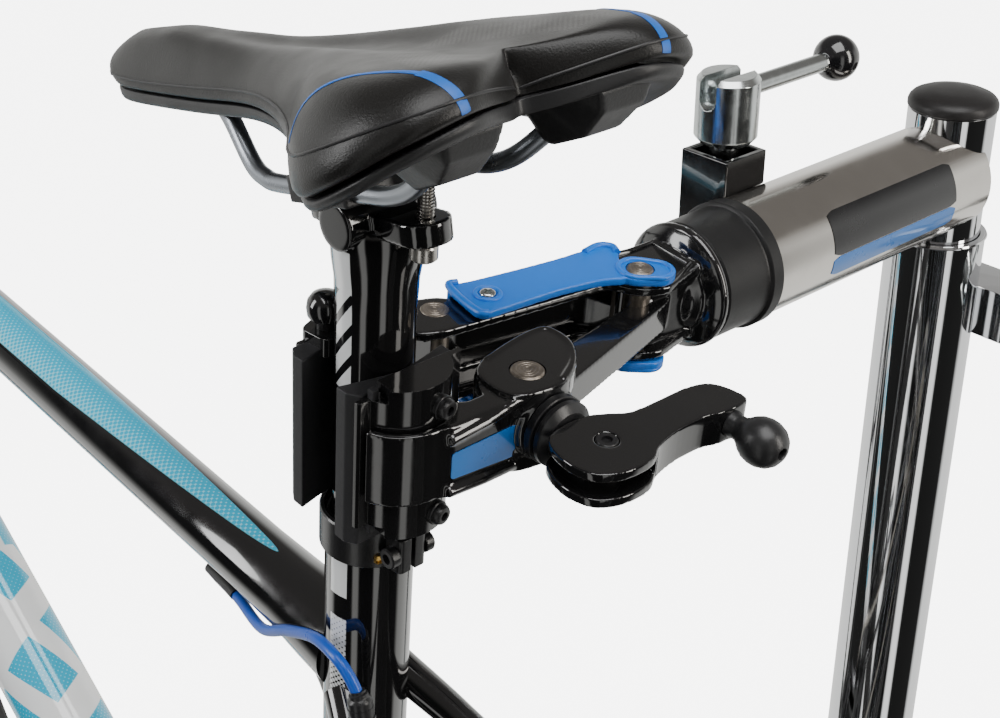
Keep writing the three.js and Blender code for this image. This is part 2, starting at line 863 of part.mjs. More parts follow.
// A point up the steering axis by u, forward of it by f, to the left by y.
function steer(u, f = 0, y = 0) {
  const s = Math.sin(HEAD_LEAN);
  const c = Math.cos(HEAD_LEAN);
  return HEAD_CENTRE.clone().add(v3(-u * s + f * c, y, u * c + f * s));
}

// Where a tube's axis, from `start` in direction angle `rise`, meets the steering axis.
function meetHead(start, rise) {
  const dir = v3(Math.cos(rise), 0, Math.sin(rise));
  const up = steer(1).sub(HEAD_CENTRE);
  const gap = HEAD_CENTRE.clone().sub(start);
  const reach = (gap.x * up.z - gap.z * up.x) / (dir.x * up.z - dir.z * up.x);
  return start.clone().addScaledVector(dir, reach);
}

const TOP_TUBE_RISE = deg(16.7);
const DOWN_TUBE_RISE = deg(47.3);
const topTubeStart = seat(TOP_TUBE_JOINT);
const topTubeEnd = meetHead(topTubeStart, TOP_TUBE_RISE);
const downTubeEnd = meetHead(v3(0, 0, 0), DOWN_TUBE_RISE);
const seatTubeSpace = rod(seat(0), seat(SEAT_TUBE_LENGTH + 20), SEAT_TUBE_R + GAP, 24);
const headTubeSpace = rod(steer(-90), steer(90), HEAD_TUBE_R + GAP, 24);
const shellSpace = rod(v3(0, -60, 0), v3(0, 60, 0), BB_SHELL_R + GAP, 24);

function seatTube() {
  const tube = pipe(seat(10), seat(SEAT_TUBE_LENGTH), SEAT_TUBE_R, SEATPOST_R + 0.7, 24);
  const shell = rod(v3(0, -BB_HALF, 0), v3(0, BB_HALF, 0), BB_SHELL_R, 24);
  return tube.add(shell).subtract(rod(v3(0, -60, 0), v3(0, 60, 0), BB_SHELL_R - 4, 24));
}

function topTube() {
  return pipe(topTubeStart, topTubeEnd, TOP_TUBE_R, TOP_TUBE_R - 1.6, 20)
    .subtract(seatTubeSpace)
    .subtract(headTubeSpace);
}

function downTube() {
  return pipe(v3(0, 0, 0), downTubeEnd, DOWN_TUBE_R, DOWN_TUBE_R - 1.8, 20)
    .subtract(shellSpace)
    .subtract(seatTubeSpace)
    .subtract(headTubeSpace);
}

const headTube = () => pipe(steer(-HEAD_HALF), steer(HEAD_HALF), HEAD_TUBE_R, 18, 24);

const DROPOUT_R = 15;
const DROPOUT_Y = [68, 75];
const dropoutSpace = rod(
  v3(REAR_AXLE.x, 0, REAR_AXLE.z),
  v3(REAR_AXLE.x, 90, REAR_AXLE.z),
  DROPOUT_R + GAP,
  24,
);

// Left-hand stays; the right-hand ones are their mirror images.
function chainstay() {
  const points = [
    [-12, 27, 2],
    [-60, 35, 5],
    [-110, 45, 13],
    [-250, 58, 34],
    [-380, 69, 52],
    [-428, 71.5, 58],
  ].map(([x, y, z]) => v3(x, y, z));
  const bar = swept(points, 8.5, { sides: 8, steps: 9 }).subtract(shellSpace);
  const end = rod(
    v3(REAR_AXLE.x, DROPOUT_Y[0], REAR_AXLE.z),
    v3(REAR_AXLE.x, DROPOUT_Y[1], REAR_AXLE.z),
    DROPOUT_R,
    24,
  );
  return bar.add(end);
}

function seatstay() {
  const points = [
    [-124, 14, 412],
    [-170, 36, 362],
    [-215, 46, 312],
    [-330, 60, 190],
    [-439, 71.5, 66],
  ].map(([x, y, z]) => v3(x, y, z));
  return swept(points, 7, { sides: 8, steps: 9 }).subtract(seatTubeSpace).subtract(dropoutSpace);
}

const CABLE_END = v3(-153, 24.5, 425);

// The left seatstay carries a moulded boot where the cable housing goes in.
function seatstayLeft() {
  const boot = rod(CABLE_END.clone().add(v3(0, 0, -4 * GAP)), v3(-152, 27, 385), 5.2, 12, 7);
  return seatstay().add(boot);
}

function cableHousing() {
  const points = [
    [-33, 9, 431],
    [-45, 11, 428],
    [-72, 17.5, 426],
    [-100, 21, 436],
    [-126, 24, 443],
    [-143, 26, 441],
    [-150, 25.5, 434],
  ].map(([x, y, z]) => v3(x, y, z));
  return swept([...points, CABLE_END], 2.5, { sides: 8, steps: 18 });
}

function seatCollar() {
  const ring = pipe(v3(0, 0, -18), v3(0, 0, 0), SEAT_TUBE_R + 2.2, SEAT_TUBE_R + GAP, 24);
  const lug = block(-27.5, -SEAT_TUBE_R - 1, -6.5, 6.5, -17, -1);
  const slot = block(-40, -SEAT_TUBE_R + 2, -1, 1, -30, 10);
  const bolt = rod(v3(-24, -11, -9), v3(-24, 11, -9), 3.2, 12);
  return join(ring, lug)
    .subtract(slot)
    .add(bolt)
    .rotate([0, -THREE.MathUtils.radToDeg(SEAT_ANGLE_LEAN), 0])
    .translate(seat(SEAT_TUBE_LENGTH + 2).toArray());
}

// ---- fork, steering and wheels ----------------------------------------------------------------

const CROWN_U = -88;
const STANCHION_R = 16;
const STANCHION_END = -420;
const LOWER_TOP = -206;
const STEERER_TOP = 108;
const STEERER_R = 14.3;
const BAR_R = 11.2;
const BAR_U = 92;
const BAR_F = 62;
const BAR_HALF = 350;
const BAR_BULGE_R = 15.9; // thick middle of the bar, in the stem

// Steerer, crown and stanchions.
function forkUpper() {
  const steerer = pipe(steer(CROWN_U - 10), steer(STEERER_TOP), STEERER_R, STEERER_R - 2.2, 16);
  const race = rod(steer(CROWN_U + 10), steer(-HEAD_HALF - 1), 22, 16);
  const crownEnd = (s) => steer(CROWN_U, LEG_FORWARD, s * LEG_SPREAD);
  const shoulders = rod(crownEnd(-1), crownEnd(1), 15, 12);
  const bridge = rod(steer(CROWN_U, -4), steer(CROWN_U, LEG_FORWARD + 6), 20, 12);
  const legs = [-1, 1].map((s) => {
    const top = steer(CROWN_U + 18, LEG_FORWARD, s * LEG_SPREAD);
    const foot = steer(STANCHION_END, LEG_FORWARD, s * LEG_SPREAD);
    const cap = rod(steer(CROWN_U - 20, LEG_FORWARD, s * LEG_SPREAD), top, 20, 16);
    return rod(foot, top, STANCHION_R, 16).add(cap);
  });
  return join(steerer, race, shoulders, bridge, ...legs);
}

// Sliders with their arch, dropouts and a brake mount.
function forkLower() {
  const leg = (u, s, f = LEG_FORWARD) => steer(u, f, s * LEG_SPREAD);
  const bores = [-1, 1].map((s) => rod(leg(-540, s), leg(-150, s), STANCHION_R + 2 * GAP, 16));
  const legs = [-1, 1].map((s) => {
    const outer = rod(leg(-FORK_AXLE_DROP - 16, s), leg(LOWER_TOP, s), 19.5, 16);
    const axle = steer(-FORK_AXLE_DROP, FORK_OFFSET, s * 51.5);
    const tab = rod(axle, axle.clone().setY(s * 74), 13, 12);
    const web = rod(leg(-FORK_AXLE_DROP, s, 20), leg(-FORK_AXLE_DROP, s, FORK_OFFSET), 8, 8);
    return join(outer, tab, web);
  });
  const archPoints = [
    [-66, -222, 36],
    [-58, -196, 48],
    [-34, -172, 56],
    [0, -164, 58],
    [34, -172, 56],
    [58, -196, 48],
    [66, -222, 36],
  ].map(([y, u, f]) => steer(u, f, y));
  const arch = swept(archPoints, 8, { sides: 8, steps: 10 });
  return join(...legs, arch).subtract(join(...bores));
}

function stem() {
  const sleeve = rod(steer(68), steer(104), 18.5, 16);
  const neck = rod(steer(84), steer(BAR_U, BAR_F), 14, 12);
  const clampRing = rod(steer(BAR_U, BAR_F, -22), steer(BAR_U, BAR_F, 22), 20, 16);
  const steererHole = rod(steer(20), steer(160), STEERER_R + GAP, 16);
  const barHole = rod(steer(BAR_U, BAR_F, -60), steer(BAR_U, BAR_F, 60), BAR_BULGE_R + 2 * GAP, 14);
  return join(sleeve, neck, clampRing).subtract(steererHole).subtract(barHole);
}

const LEVER_PIVOT_Y = 222;
const barPoint = (u, f, y) => steer(BAR_U + u, BAR_F + f, y);

// The bar rises and sweeps back; brake-lever perches are clamped on it.
function handlebar() {
  const side = [
    [0, 0, 0],
    [0, 0, 60],
    [14, -2, 140],
    [18, -12, 230],
    [19, -30, 290],
    [20, -38, BAR_HALF],
  ];
  const left = side.map(([u, f, y]) => barPoint(u, f, y));
  const right = side.slice(1).map(([u, f, y]) => barPoint(u, f, -y));
  const bar = swept([...right.reverse(), ...left], BAR_R, { sides: 8, steps: 18 });
  const bulge = rod(barPoint(0, 0, -30), barPoint(0, 0, 30), BAR_BULGE_R, 14);
  const perches = [-1, 1].map((s) => {
    const clampBand = rod(barPoint(18, -8, s * 202), barPoint(18, -9, s * 216), 16, 12);
    const body = rod(barPoint(18, 2, s * 206), barPoint(12, 34, s * LEVER_PIVOT_Y), 7.5, 8);
    return clampBand.add(body);
  });
  return join(bar, bulge, ...perches);
}

function grip(s) {
  const spot = (u, f, y) => barPoint(u, f, s * y);
  const sleeve = rod(spot(18.8, -27, 282), spot(20.2, -39.5, BAR_HALF + 8), 16.4, 12);
  const path = [
    spot(18, -12, 230),
    spot(19, -30, 290),
    spot(20, -38, BAR_HALF),
    spot(20.4, -40, BAR_HALF + 6),
  ];
  return sleeve.subtract(swept(path, BAR_R + 1.9, { sides: 8, steps: 8 }));
}

// A brake lever blade hinged at the end of its perch.
function brakeBlade(s) {
  const points = [
    [-2, 37, 220],
    [1, 42, 240],
    [2, 38, 270],
    [4, 32, 310],
    [5, 36, 322],
  ].map(([u, f, y]) => barPoint(u, f, s * y));
  return swept(points, 4.6, { sides: 6, steps: 10 });
}

const WHEEL_SIDES = 24;

function tyre() {
  const outer = arcPoints({ x: TYRE_RING_R, y: 0 }, TYRE_SECTION_R, -142, 142, 7);
  const inner = arcPoints({ x: TYRE_RING_R, y: 0 }, TYRE_SECTION_R - 3, 142, -142, 3);
  return turned([...outer, ...inner, outer[0]], v3(0, 0, 0), v3(0, 1, 0), WHEEL_SIDES);
}

const SPOKES = 12;
const RIM = { inner: 297, bed: 305, lip: 315.5, half: 13 };

// Rim, spokes and hub as one wheel; hub profile points are [radius, y].
function wheel(hubProfile, flanges) {
  const { inner, bed, lip, half } = RIM;
  const rim = turned(
    [
      [inner, -7],
      [bed, -half],
      [lip, -half],
      [lip, -half + 2],
      [inner + 2.4, -4],
      [inner + 2.4, 4],
      [lip, half - 2],
      [lip, half],
      [bed, half],
      [inner, 7],
      [inner, -7],
    ],
    v3(0, 0, 0),
    v3(0, 1, 0),
    WHEEL_SIDES,
  );
  const hub = turned(hubProfile, v3(0, 0, 0), v3(0, 1, 0), 10);
  const spokes = Array.from({ length: SPOKES }, (_, i) => {
    const side = i % 2;
    const a = (2 * Math.PI * i) / SPOKES;
    const lean = a + (i % 4 < 2 ? 0.9 : -0.9);
    const flange = flanges[side];
    const root = v3(flange.r * Math.cos(lean), flange.y, flange.r * Math.sin(lean));
    const tip = v3((inner + 1) * Math.cos(a), side ? -3 : 3, (inner + 1) * Math.sin(a));
    return rod(root, tip, 1.3, 3);
  });
  return join(rim, hub, ...spokes);
}

function frontWheel() {
  const hub = [
    [0, -50],
    [10, -50],
    [10, -36],
    [26, -33],
    [26, -30],
    [13, -24],
    [13, 18],
    [27, 24],
    [27, 27],
    [14, 31],
    [14, 38],
    [80, 38],
    [80, 40],
    [14, 40],
    [10, 42],
    [10, 50],
    [0, 50],
  ];
  return wheel(hub, [
    { r: 23, y: 25.5 },
    { r: 23, y: -31.5 },
  ]);
}

// The cogs step outwards from the smallest to the largest as they near the spokes.
function rearWheel() {
  const y = CHAINLINE;
  const hub = [
    [0, -66.5],
    [11, -66.5],
    [11, -61],
    [24, -61],
    [27, y - 3.6],
    [27, y - 1.5],
    [COG_R, y - 1.5],
    [COG_R, y + 1.5],
    [27, y + 1.5],
    [27, y + 4],
    [42, y + 4],
    [50, y + 8],
    [68, y + 15],
    [68, y + 17],
    [20, y + 18],
    [26, -30],
    [26, -27],
    [14, -20],
    [14, 28],
    [27, 32],
    [27, 35],
    [14, 38],
    [14, 50],
    [80, 50],
    [80, 52],
    [14, 52],
    [11, 55],
    [11, 66.5],
    [0, 66.5],
  ];
  return wheel(hub, [
    { r: 23, y: 33.5 },
    { r: 23, y: -28.5 },
  ]);
}

// ---- drivetrain -------------------------------------------------------------------------------

const PEDAL_HALF = 46;
const PEDAL_GAP = 8;
const ARM_FACE = 78; // outer and inner faces of a crank arm, from the middle of the bicycle
const ARM_INNER = 64;
const SPINDLE_R = 6;

// One crank arm to +x at the given side, with its pedal spindle.
function crankBar(s) {
  const outline = slotOutline(new THREE.Vector2(0, 0), 17, new THREE.Vector2(CRANK_LENGTH, 0), 13, 8);
  const y0 = Math.min(s * ARM_FACE, s * ARM_INNER);
  const arm = upright(outline, y0, y0 + ARM_FACE - ARM_INNER);
  const spindleEnd = s * (ARM_FACE + PEDAL_GAP + 2 * PEDAL_HALF - 6);
  const root = v3(CRANK_LENGTH, s * (ARM_FACE - 6), 0);
  return arm.add(rod(root, root.clone().setY(spindleEnd), SPINDLE_R, 16));
}

// Right-hand arm, spider, chainring and the through axle.
function crankset() {
  const ring = rod(v3(0, CHAINLINE - 1.5, 0), v3(0, CHAINLINE + 1.5, 0), CHAINRING_R, 28);
  const windows = [0, 1, 2].map((i) => {
    const a = deg(60 + 120 * i);
    const middle = v3(40 * Math.cos(a), CHAINLINE - 10, 40 * Math.sin(a));
    return rod(middle, middle.clone().setY(CHAINLINE + 10), 17, 8);
  });
  const boss = rod(v3(0, -BB_HALF - GAP, 0), v3(0, -70, 0), 19, 16);
  const axle = rod(v3(0, -60, 0), v3(0, ARM_INNER - GAP, 0), 12, 14);
  return join(ring.subtract(join(...windows)), boss, axle, crankBar(-1));
}

function pedal(s) {
  const start = ARM_FACE + PEDAL_GAP;
  const y0 = s > 0 ? start : -start - 2 * PEDAL_HALF;
  const cage = block(-47, 47, y0, y0 + 2 * PEDAL_HALF, -8.5, 8.5);
  const windows = [-1, 1].map((i) => {
    const x0 = i > 0 ? 14 : -38;
    return block(x0, x0 + 24, y0 + 12, y0 + 2 * PEDAL_HALF - 12, -20, 20);
  });
  const bore = rod(v3(0, y0 - 5, 0), v3(0, y0 + 2 * PEDAL_HALF + 5, 0), SPINDLE_R + GAP, 16);
  return cage.subtract(join(...windows)).subtract(bore);
}

const PULLEYS = [
  { x: REAR_AXLE.x + 6, y: REAR_AXLE.z - 66, sense: -1 },
  { x: REAR_AXLE.x + 28, y: REAR_AXLE.z - 122, sense: 1 },
];

// Wheels that the chain runs round, in order, in the x-z plane; sense 1 turns anticlockwise.
function chainWheels() {
  return [
    { x: 0, y: 0, r: CHAINRING_R + 4, sense: 1 },
    { x: REAR_AXLE.x, y: REAR_AXLE.z, r: COG_R + 4, sense: 1 },
    { ...PULLEYS[0], r: PULLEY_R + 4 },
    { ...PULLEYS[1], r: PULLEY_R + 4 },
  ];
}

// Angles at which the belt leaves wheel a and reaches wheel b.
function tangent(a, b) {
  const heading = Math.atan2(b.y - a.y, b.x - a.x);
  const span = Math.hypot(b.x - a.x, b.y - a.y);
  const offset = Math.acos((a.sense * a.r - b.sense * b.r) / span);
  const leave = heading - offset;
  return { leave: leave + (a.sense < 0 ? Math.PI : 0), reach: leave + (b.sense < 0 ? Math.PI : 0) };
}

// The chain's centre line as points with outward normals.
function chainLine() {
  const wheels = chainWheels();
  const count = wheels.length;
  const spans = wheels.map((w, i) => tangent(w, wheels[(i + 1) % count]));
  return wheels.flatMap((w, i) => {
    const start = spans[(i + count - 1) % count].reach;
    let sweep = spans[i].leave - start;
    const full = 2 * Math.PI;
    while (w.sense > 0 && sweep < 0) sweep += full;
    while (w.sense < 0 && sweep > 0) sweep -= full;
    sweep %= full;
    const steps = Math.max(3, Math.ceil(Math.abs(sweep) / 0.3));
    return Array.from({ length: steps + 1 }, (_, k) => {
      const a = start + (sweep * k) / steps;
      const normal = [w.sense * Math.cos(a), w.sense * Math.sin(a)];
      return { x: w.x + w.r * Math.cos(a), y: w.y + w.r * Math.sin(a), normal };
    });
  });
}

const CHAIN_HALF = 3.1;

function chain() {
  const line = chainLine();
  const offset = (d) => line.map(({ x, y, normal }) => [x + d * normal[0], y + d * normal[1]]);
  const outer = upright(offset(CHAIN_HALF), CHAINLINE - 3, CHAINLINE + 3);
  return outer.subtract(upright(offset(-CHAIN_HALF), CHAINLINE - 9, CHAINLINE + 9));
}

// Cage plates, pulleys and the knuckle that hangs them from the dropout.
function rearDerailleur() {
  const [upper, lower] = PULLEYS.map(({ x, y }) => new THREE.Vector2(x, y));
  const cageOutline = slotOutline(upper, 9, lower, 9, 4);
  const outerCage = upright(cageOutline, CHAINLINE - 9, CHAINLINE - 7);
  const innerCage = upright(cageOutline, CHAINLINE + 7, CHAINLINE + 9);
  const pulleys = [upper, lower].map(({ x, y }) => {
    const wheelPart = rod(v3(x, CHAINLINE - 1.5, y), v3(x, CHAINLINE + 1.5, y), PULLEY_R, 14);
    return wheelPart.add(rod(v3(x, CHAINLINE - 8, y), v3(x, CHAINLINE + 8, y), 4, 8));
  });
  const hangerY = -84.5;
  const elbow = v3(REAR_AXLE.x - 6, hangerY, REAR_AXLE.z - 34);
  const knuckle = rod(v3(upper.x, CHAINLINE - 9, upper.y), elbow, 10, 10);
  const hanger = rod(elbow, v3(REAR_AXLE.x - 4, hangerY, REAR_AXLE.z - 4), 8, 10);
  return join(outerCage, innerCage, ...pulleys, knuckle, hanger);
}

// ---- assembly ---------------------------------------------------------------------------------

function at(group, x, y, z) {
  group.position.set(x, y, z);
  return group;
}

const machine = new THREE.Group();

// The frame of a locking screw standing on `foot`, turned by `tilt` about y.
function screwGroup(foot, tilt) {
  const group = at(new THREE.Group(), foot.x, foot.y, foot.z);
  group.rotation.y = tilt;
  machine.add(group);
  return group;
}

function buildStand() {
  const arm = at(new THREE.Group(), 0, 0, ARM_HEIGHT);
  machine.add(arm);
  part(machine, "base_plate", basePlate(), plateSteel);
  part(machine, "post_socket", postSocket(), chrome);
  part(machine, "lower_post", lowerPost(), chrome);
  part(machine, "height_lug", heightLug(), chrome);
  part(machine, "upper_post", upperPost(), chrome);
  part(machine, "post_cap", postCap(), mattBlack);
  part(arm, "arm_tube", armTube(), nickel);
  part(arm, "lock_lug", lockLug(), nickel);
  part(arm, "arm_bushing", armBushing(), mattBlack);
  const lock = screwGroup(LOCK_LUG.clone().setZ(ARM_HEIGHT + LOCK_LUG_TOP), 0);
  part(lock, "lock_barrel", lockBarrel(), zinc);
  part(lock, "lock_lever", lockLever(), zinc);
  part(lock, "lock_ball", boredBall(), glossBlack);
  const height = screwGroup(v3(HEIGHT_LUG_X[0], HEIGHT_LUG_Y, HEIGHT_LUG_Z), -Math.PI / 2);
  part(height, "height_barrel", lockBarrel(), zinc);
  part(height, "height_lever", lockLever().add(leverBall()), zinc);
}

function buildClamp() {
  const head = at(new THREE.Group(), 0, CLAMP_REACH, ARM_HEIGHT);
  head.rotation.y = -SEATPOST_LEAN;
  machine.add(head);
  part(head, "clamp_body", clampBody(), glossBlack);
  part(head, "cam_pin", pinRod(CAM_PIN, LEVER_TOP, CAM_PIN_R), pinSteel);
  part(head, "link_pin", pinRod(LINK_PIN, CASTING_TOP, LINK_PIN_R), pinSteel);
  part(head, "jaw_pin", pinRod(JAW_PIN, CASTING_TOP, JAW_PIN_R), pinSteel);
  part(head, "cam_handle", camHandle(), leverBlue);
  part(head, "far_jaw_holder", holder(FAR_HOLDER_AXIS, FAR_HOLDER_R, 1, [-19, 20], [-34, 28]), glossBlack);
  part(head, "far_jaw_pad", jawPad(1), padRubber);
  part(head, "jaw_arm", jawArm(), glossBlack);
  part(head, "near_jaw_holder", holder(HOLDER_AXIS, HOLDER_R, -1, [-23, 26], [-34, 33]), glossBlack);
  part(head, "near_jaw_pad", jawPad(-1), padRubber);
  part(head, "adjuster_screw", adjusterScrew(), mattBlack);
  part(head, "crank_arm", crankArm(), glossBlack);
  part(head, "crank_knob", crankKnob(), mattBlack);
  part(head, "seatpost", seatpost(), frameBlack);
  part(head, "rail_clamp", railClamp(), zinc);
}

function buildSaddle() {
  const { x, y, z } = SADDLE_ORIGIN;
  const saddle = at(new THREE.Group(), x, y, ARM_HEIGHT + z);
  saddle.rotation.y = SADDLE_PITCH;
  machine.add(saddle);
  part(saddle, "saddle_rails", saddleRails(RAIL_R), gunmetal);
  part(saddle, "saddle_shell", saddleShell(), shellBlack);
  part(saddle, "saddle_cover", saddleCover(), saddleBlack);
}

function buildBicycle() {
  const hung = at(new THREE.Group(), 0, CLAMP_REACH, ARM_HEIGHT);
  hung.rotation.y = BIKE_PITCH;
  machine.add(hung);
  const clampPoint = seat(CLAMP_ON_SEATPOST);
  const bike = at(new THREE.Group(), -clampPoint.x, 0, -clampPoint.z);
  hung.add(bike);
  part(bike, "seat_tube", seatTube(), frameBlack);
  part(bike, "top_tube", topTube(), frameBlack);
  part(bike, "down_tube", downTube(), frameWhite);
  part(bike, "head_tube", headTube(), frameBlack);
  part(bike, "chainstay_left", chainstay(), frameBlack);
  part(bike, "chainstay_right", mirrorY(chainstay()), frameBlack);
  part(bike, "seatstay_left", seatstayLeft(), frameBlack);
  part(bike, "seatstay_right", mirrorY(seatstay()), frameBlack);
  part(bike, "seat_collar", seatCollar(), alloyBlack);
  part(bike, "cable_housing", cableHousing(), cableBlue);
  part(bike, "fork_upper", forkUpper(), alloyBlack);
  part(bike, "fork_lower", forkLower(), frameBlack);
  part(bike, "stem", stem(), alloyBlack);
  part(bike, "handlebar", handlebar(), alloyBlack);
  part(bike, "grip_left", grip(1), mattBlack);
  part(bike, "grip_right", grip(-1), mattBlack);
  part(bike, "brake_lever_left", brakeBlade(1), alloyBlack);
  part(bike, "brake_lever_right", brakeBlade(-1), alloyBlack);
  const front = at(new THREE.Group(), ...steer(-FORK_AXLE_DROP, FORK_OFFSET).toArray());
  const rear = at(new THREE.Group(), ...REAR_AXLE.toArray());
  bike.add(front, rear);
  part(front, "front_tyre", tyre(), tyreRubber);
  part(front, "front_wheel", frontWheel(), alloyBlack);
  part(rear, "rear_tyre", tyre(), tyreRubber);
  part(rear, "rear_wheel", rearWheel(), alloyBlack);
  part(bike, "crankset", crankset(), alloyBlack);
  part(bike, "crank_left", crankBar(1).rotate([0, 180, 0]), alloyBlack);
  const pedalRight = at(new THREE.Group(), CRANK_LENGTH, 0, 0);
  const pedalLeft = at(new THREE.Group(), -CRANK_LENGTH, 0, 0);
  bike.add(pedalRight, pedalLeft);
  part(pedalRight, "pedal_right", pedal(-1), alloyBlack);
  part(pedalLeft, "pedal_left", pedal(1), alloyBlack);
  part(bike, "chain", chain(), chainSteel);
  part(bike, "rear_derailleur", rearDerailleur(), alloySilver);
}

buildStand();
buildClamp();
buildSaddle();
buildBicycle();

export default machine;
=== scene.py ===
"""A mountain bicycle held by its seatpost in a repair stand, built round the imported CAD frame."""
import json
import math

import bmesh
import bpy
from mathutils import Matrix, Vector
from mathutils.bvhtree import BVHTree

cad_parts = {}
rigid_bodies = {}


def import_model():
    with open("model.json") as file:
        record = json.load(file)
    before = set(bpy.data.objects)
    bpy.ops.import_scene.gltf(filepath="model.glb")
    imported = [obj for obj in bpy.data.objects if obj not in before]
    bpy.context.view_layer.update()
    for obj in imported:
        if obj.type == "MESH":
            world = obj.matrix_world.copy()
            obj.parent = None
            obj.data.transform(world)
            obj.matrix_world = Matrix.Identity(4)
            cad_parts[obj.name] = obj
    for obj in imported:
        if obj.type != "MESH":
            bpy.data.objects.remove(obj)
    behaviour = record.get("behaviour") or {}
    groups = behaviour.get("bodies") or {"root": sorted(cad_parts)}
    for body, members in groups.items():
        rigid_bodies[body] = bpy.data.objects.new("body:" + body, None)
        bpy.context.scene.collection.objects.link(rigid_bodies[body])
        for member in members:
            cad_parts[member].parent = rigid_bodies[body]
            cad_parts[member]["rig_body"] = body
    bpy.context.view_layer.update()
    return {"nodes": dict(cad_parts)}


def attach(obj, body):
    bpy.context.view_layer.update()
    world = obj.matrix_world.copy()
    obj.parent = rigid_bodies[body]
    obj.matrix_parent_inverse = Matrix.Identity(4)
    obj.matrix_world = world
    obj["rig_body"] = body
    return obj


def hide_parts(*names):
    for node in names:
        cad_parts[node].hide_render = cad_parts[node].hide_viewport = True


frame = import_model()

# ---- places, in millimetres and degrees, in the part's frame --------------------------------

MM = 0.001
ARM_HEIGHT = 1150
CLAMP_REACH = 375.3
SEATPOST_LEAN = 5.47
SADDLE_PITCH = 12.8
BIKE_PITCH = 11
SEAT_LEAN = math.radians(16.47)
HEAD_LEAN = math.radians(21)
CLAMP_ON_SEATPOST = 565
HEAD_CENTRE = Vector((495, 0, 577.5))
REAR_AXLE = Vector((-441, 0, 60))
FORK_AXLE_DROP = 570
FORK_OFFSET = 46


def place(x, y, z, pitch=0.0):
    """A frame at a point, turned about y."""
    return Matrix.Translation(Vector((x, y, z)) * MM) @ Matrix.Rotation(math.radians(pitch), 4, "Y")


def seat(s, y=0.0):
    """A point up the seat tube from the bottom bracket."""
    return Vector((-s * math.sin(SEAT_LEAN), y, s * math.cos(SEAT_LEAN)))


def steer(u, f=0.0, y=0.0):
    """A point up the steering axis by u, forward of it by f, to the left by y."""
    s, c = math.sin(HEAD_LEAN), math.cos(HEAD_LEAN)
    return HEAD_CENTRE + Vector((-u * s + f * c, y, u * c + f * s))


WORLD = place(0, 0, 0)
ARM = place(0, 0, ARM_HEIGHT)
CLAMP = place(0, CLAMP_REACH, ARM_HEIGHT, -SEATPOST_LEAN)
SADDLE = place(0, CLAMP_REACH, ARM_HEIGHT + 100, SADDLE_PITCH)
LOCK = place(31, 140, ARM_HEIGHT + 40)
HEIGHT = place(-46, -31, ARM_HEIGHT - 78, -90)
_grip = seat(CLAMP_ON_SEATPOST)
BIKE = place(0, CLAMP_REACH, ARM_HEIGHT, BIKE_PITCH) @ Matrix.Translation(-_grip * MM)


def along(base, start, end):
    """A frame inside base whose z runs from start to end."""
    turn = (end - start).to_track_quat("Z", "Y").to_matrix().to_4x4()
    return base @ Matrix.Translation(start * MM) @ turn


# ---- shapes: every one is (points in mm, faces) ---------------------------------------------


def merge(*shapes):
    """Several shapes as one, not united."""
    points, faces = [], []
    for p, f in shapes:
        shift = len(points)
        points += list(p)
        faces += [tuple(i + shift for i in face) for face in f]
    return points, faces


def moved(shape, matrix):
    """matrix works in mm."""
    return [tuple(matrix @ Vector(p)) for p in shape[0]], shape[1]


def shifted(shape, x, y, z):
    return moved(shape, Matrix.Translation((x, y, z)))


def loft(rings, closed=False, caps=True):
    """A skin over rings of equally many points; closed joins the last ring to the first."""
    count, size = len(rings), len(rings[0])
    points = [tuple(p) for ring in rings for p in ring]
    faces = []
    for i in range(count if closed else count - 1):
        a, b = i * size, (i + 1) % count * size
        for k in range(size):
            n = (k + 1) % size
            faces.append((a + k, a + n, b + n, b + k))
    if caps and not closed:
        faces.append(tuple(reversed(range(size))))
        faces.append(tuple(range((count - 1) * size, count * size)))
    return points, faces


def lathe(profile, sides=64):
    """A solid of revolution about z from [radius, height] points, a loop if they close."""
    loop = profile[0] == profile[-1]
    rings = []
    for r, h in profile[:-1] if loop else profile:
        r = max(r, 0.0005)
        rings.append(
            [
                (r * math.cos(2 * math.pi * i / sides), r * math.sin(2 * math.pi * i / sides), h)
                for i in range(sides)
            ]
        )
    return loft(rings, closed=loop)


def slab(outline, z0, z1):
    """A flat plate from an outline of (x, y) points."""
    return loft([[(x, y, z0) for x, y in outline], [(x, y, z1) for x, y in outline]])


def upright(outline, y0, y1):
    """A plate standing in the x-z plane."""
    return loft([[(x, y0, z) for x, z in outline], [(x, y1, z) for x, z in outline]])


def box(x0, x1, y0, y1, z0, z1):
    return slab([(x0, y0), (x1, y0), (x1, y1), (x0, y1)], z0, z1)


def spline(points, steps, closed=False):
    """Catmull-Rom through points, with steps spans between neighbours."""
    pts = [Vector(p) for p in points]
    n = len(pts)
    out = []
    for i in range(n if closed else n - 1):
        if closed:
            a, b, c, d = (pts[(i + k) % n] for k in (-1, 0, 1, 2))
        else:
            b, c = pts[i], pts[i + 1]
            a = pts[i - 1] if i else b * 2 - c
            d = pts[i + 2] if i + 2 < n else c * 2 - b
        for k in range(steps):
            t = k / steps
            out.append(
                0.5
                * (
                    2 * b
                    + (c - a) * t
                    + (2 * a - 5 * b + 4 * c - d) * t * t
                    + (3 * b - 3 * c + d - a) * t * t * t
                )
            )
    if not closed:
        out.append(pts[-1])
    return out


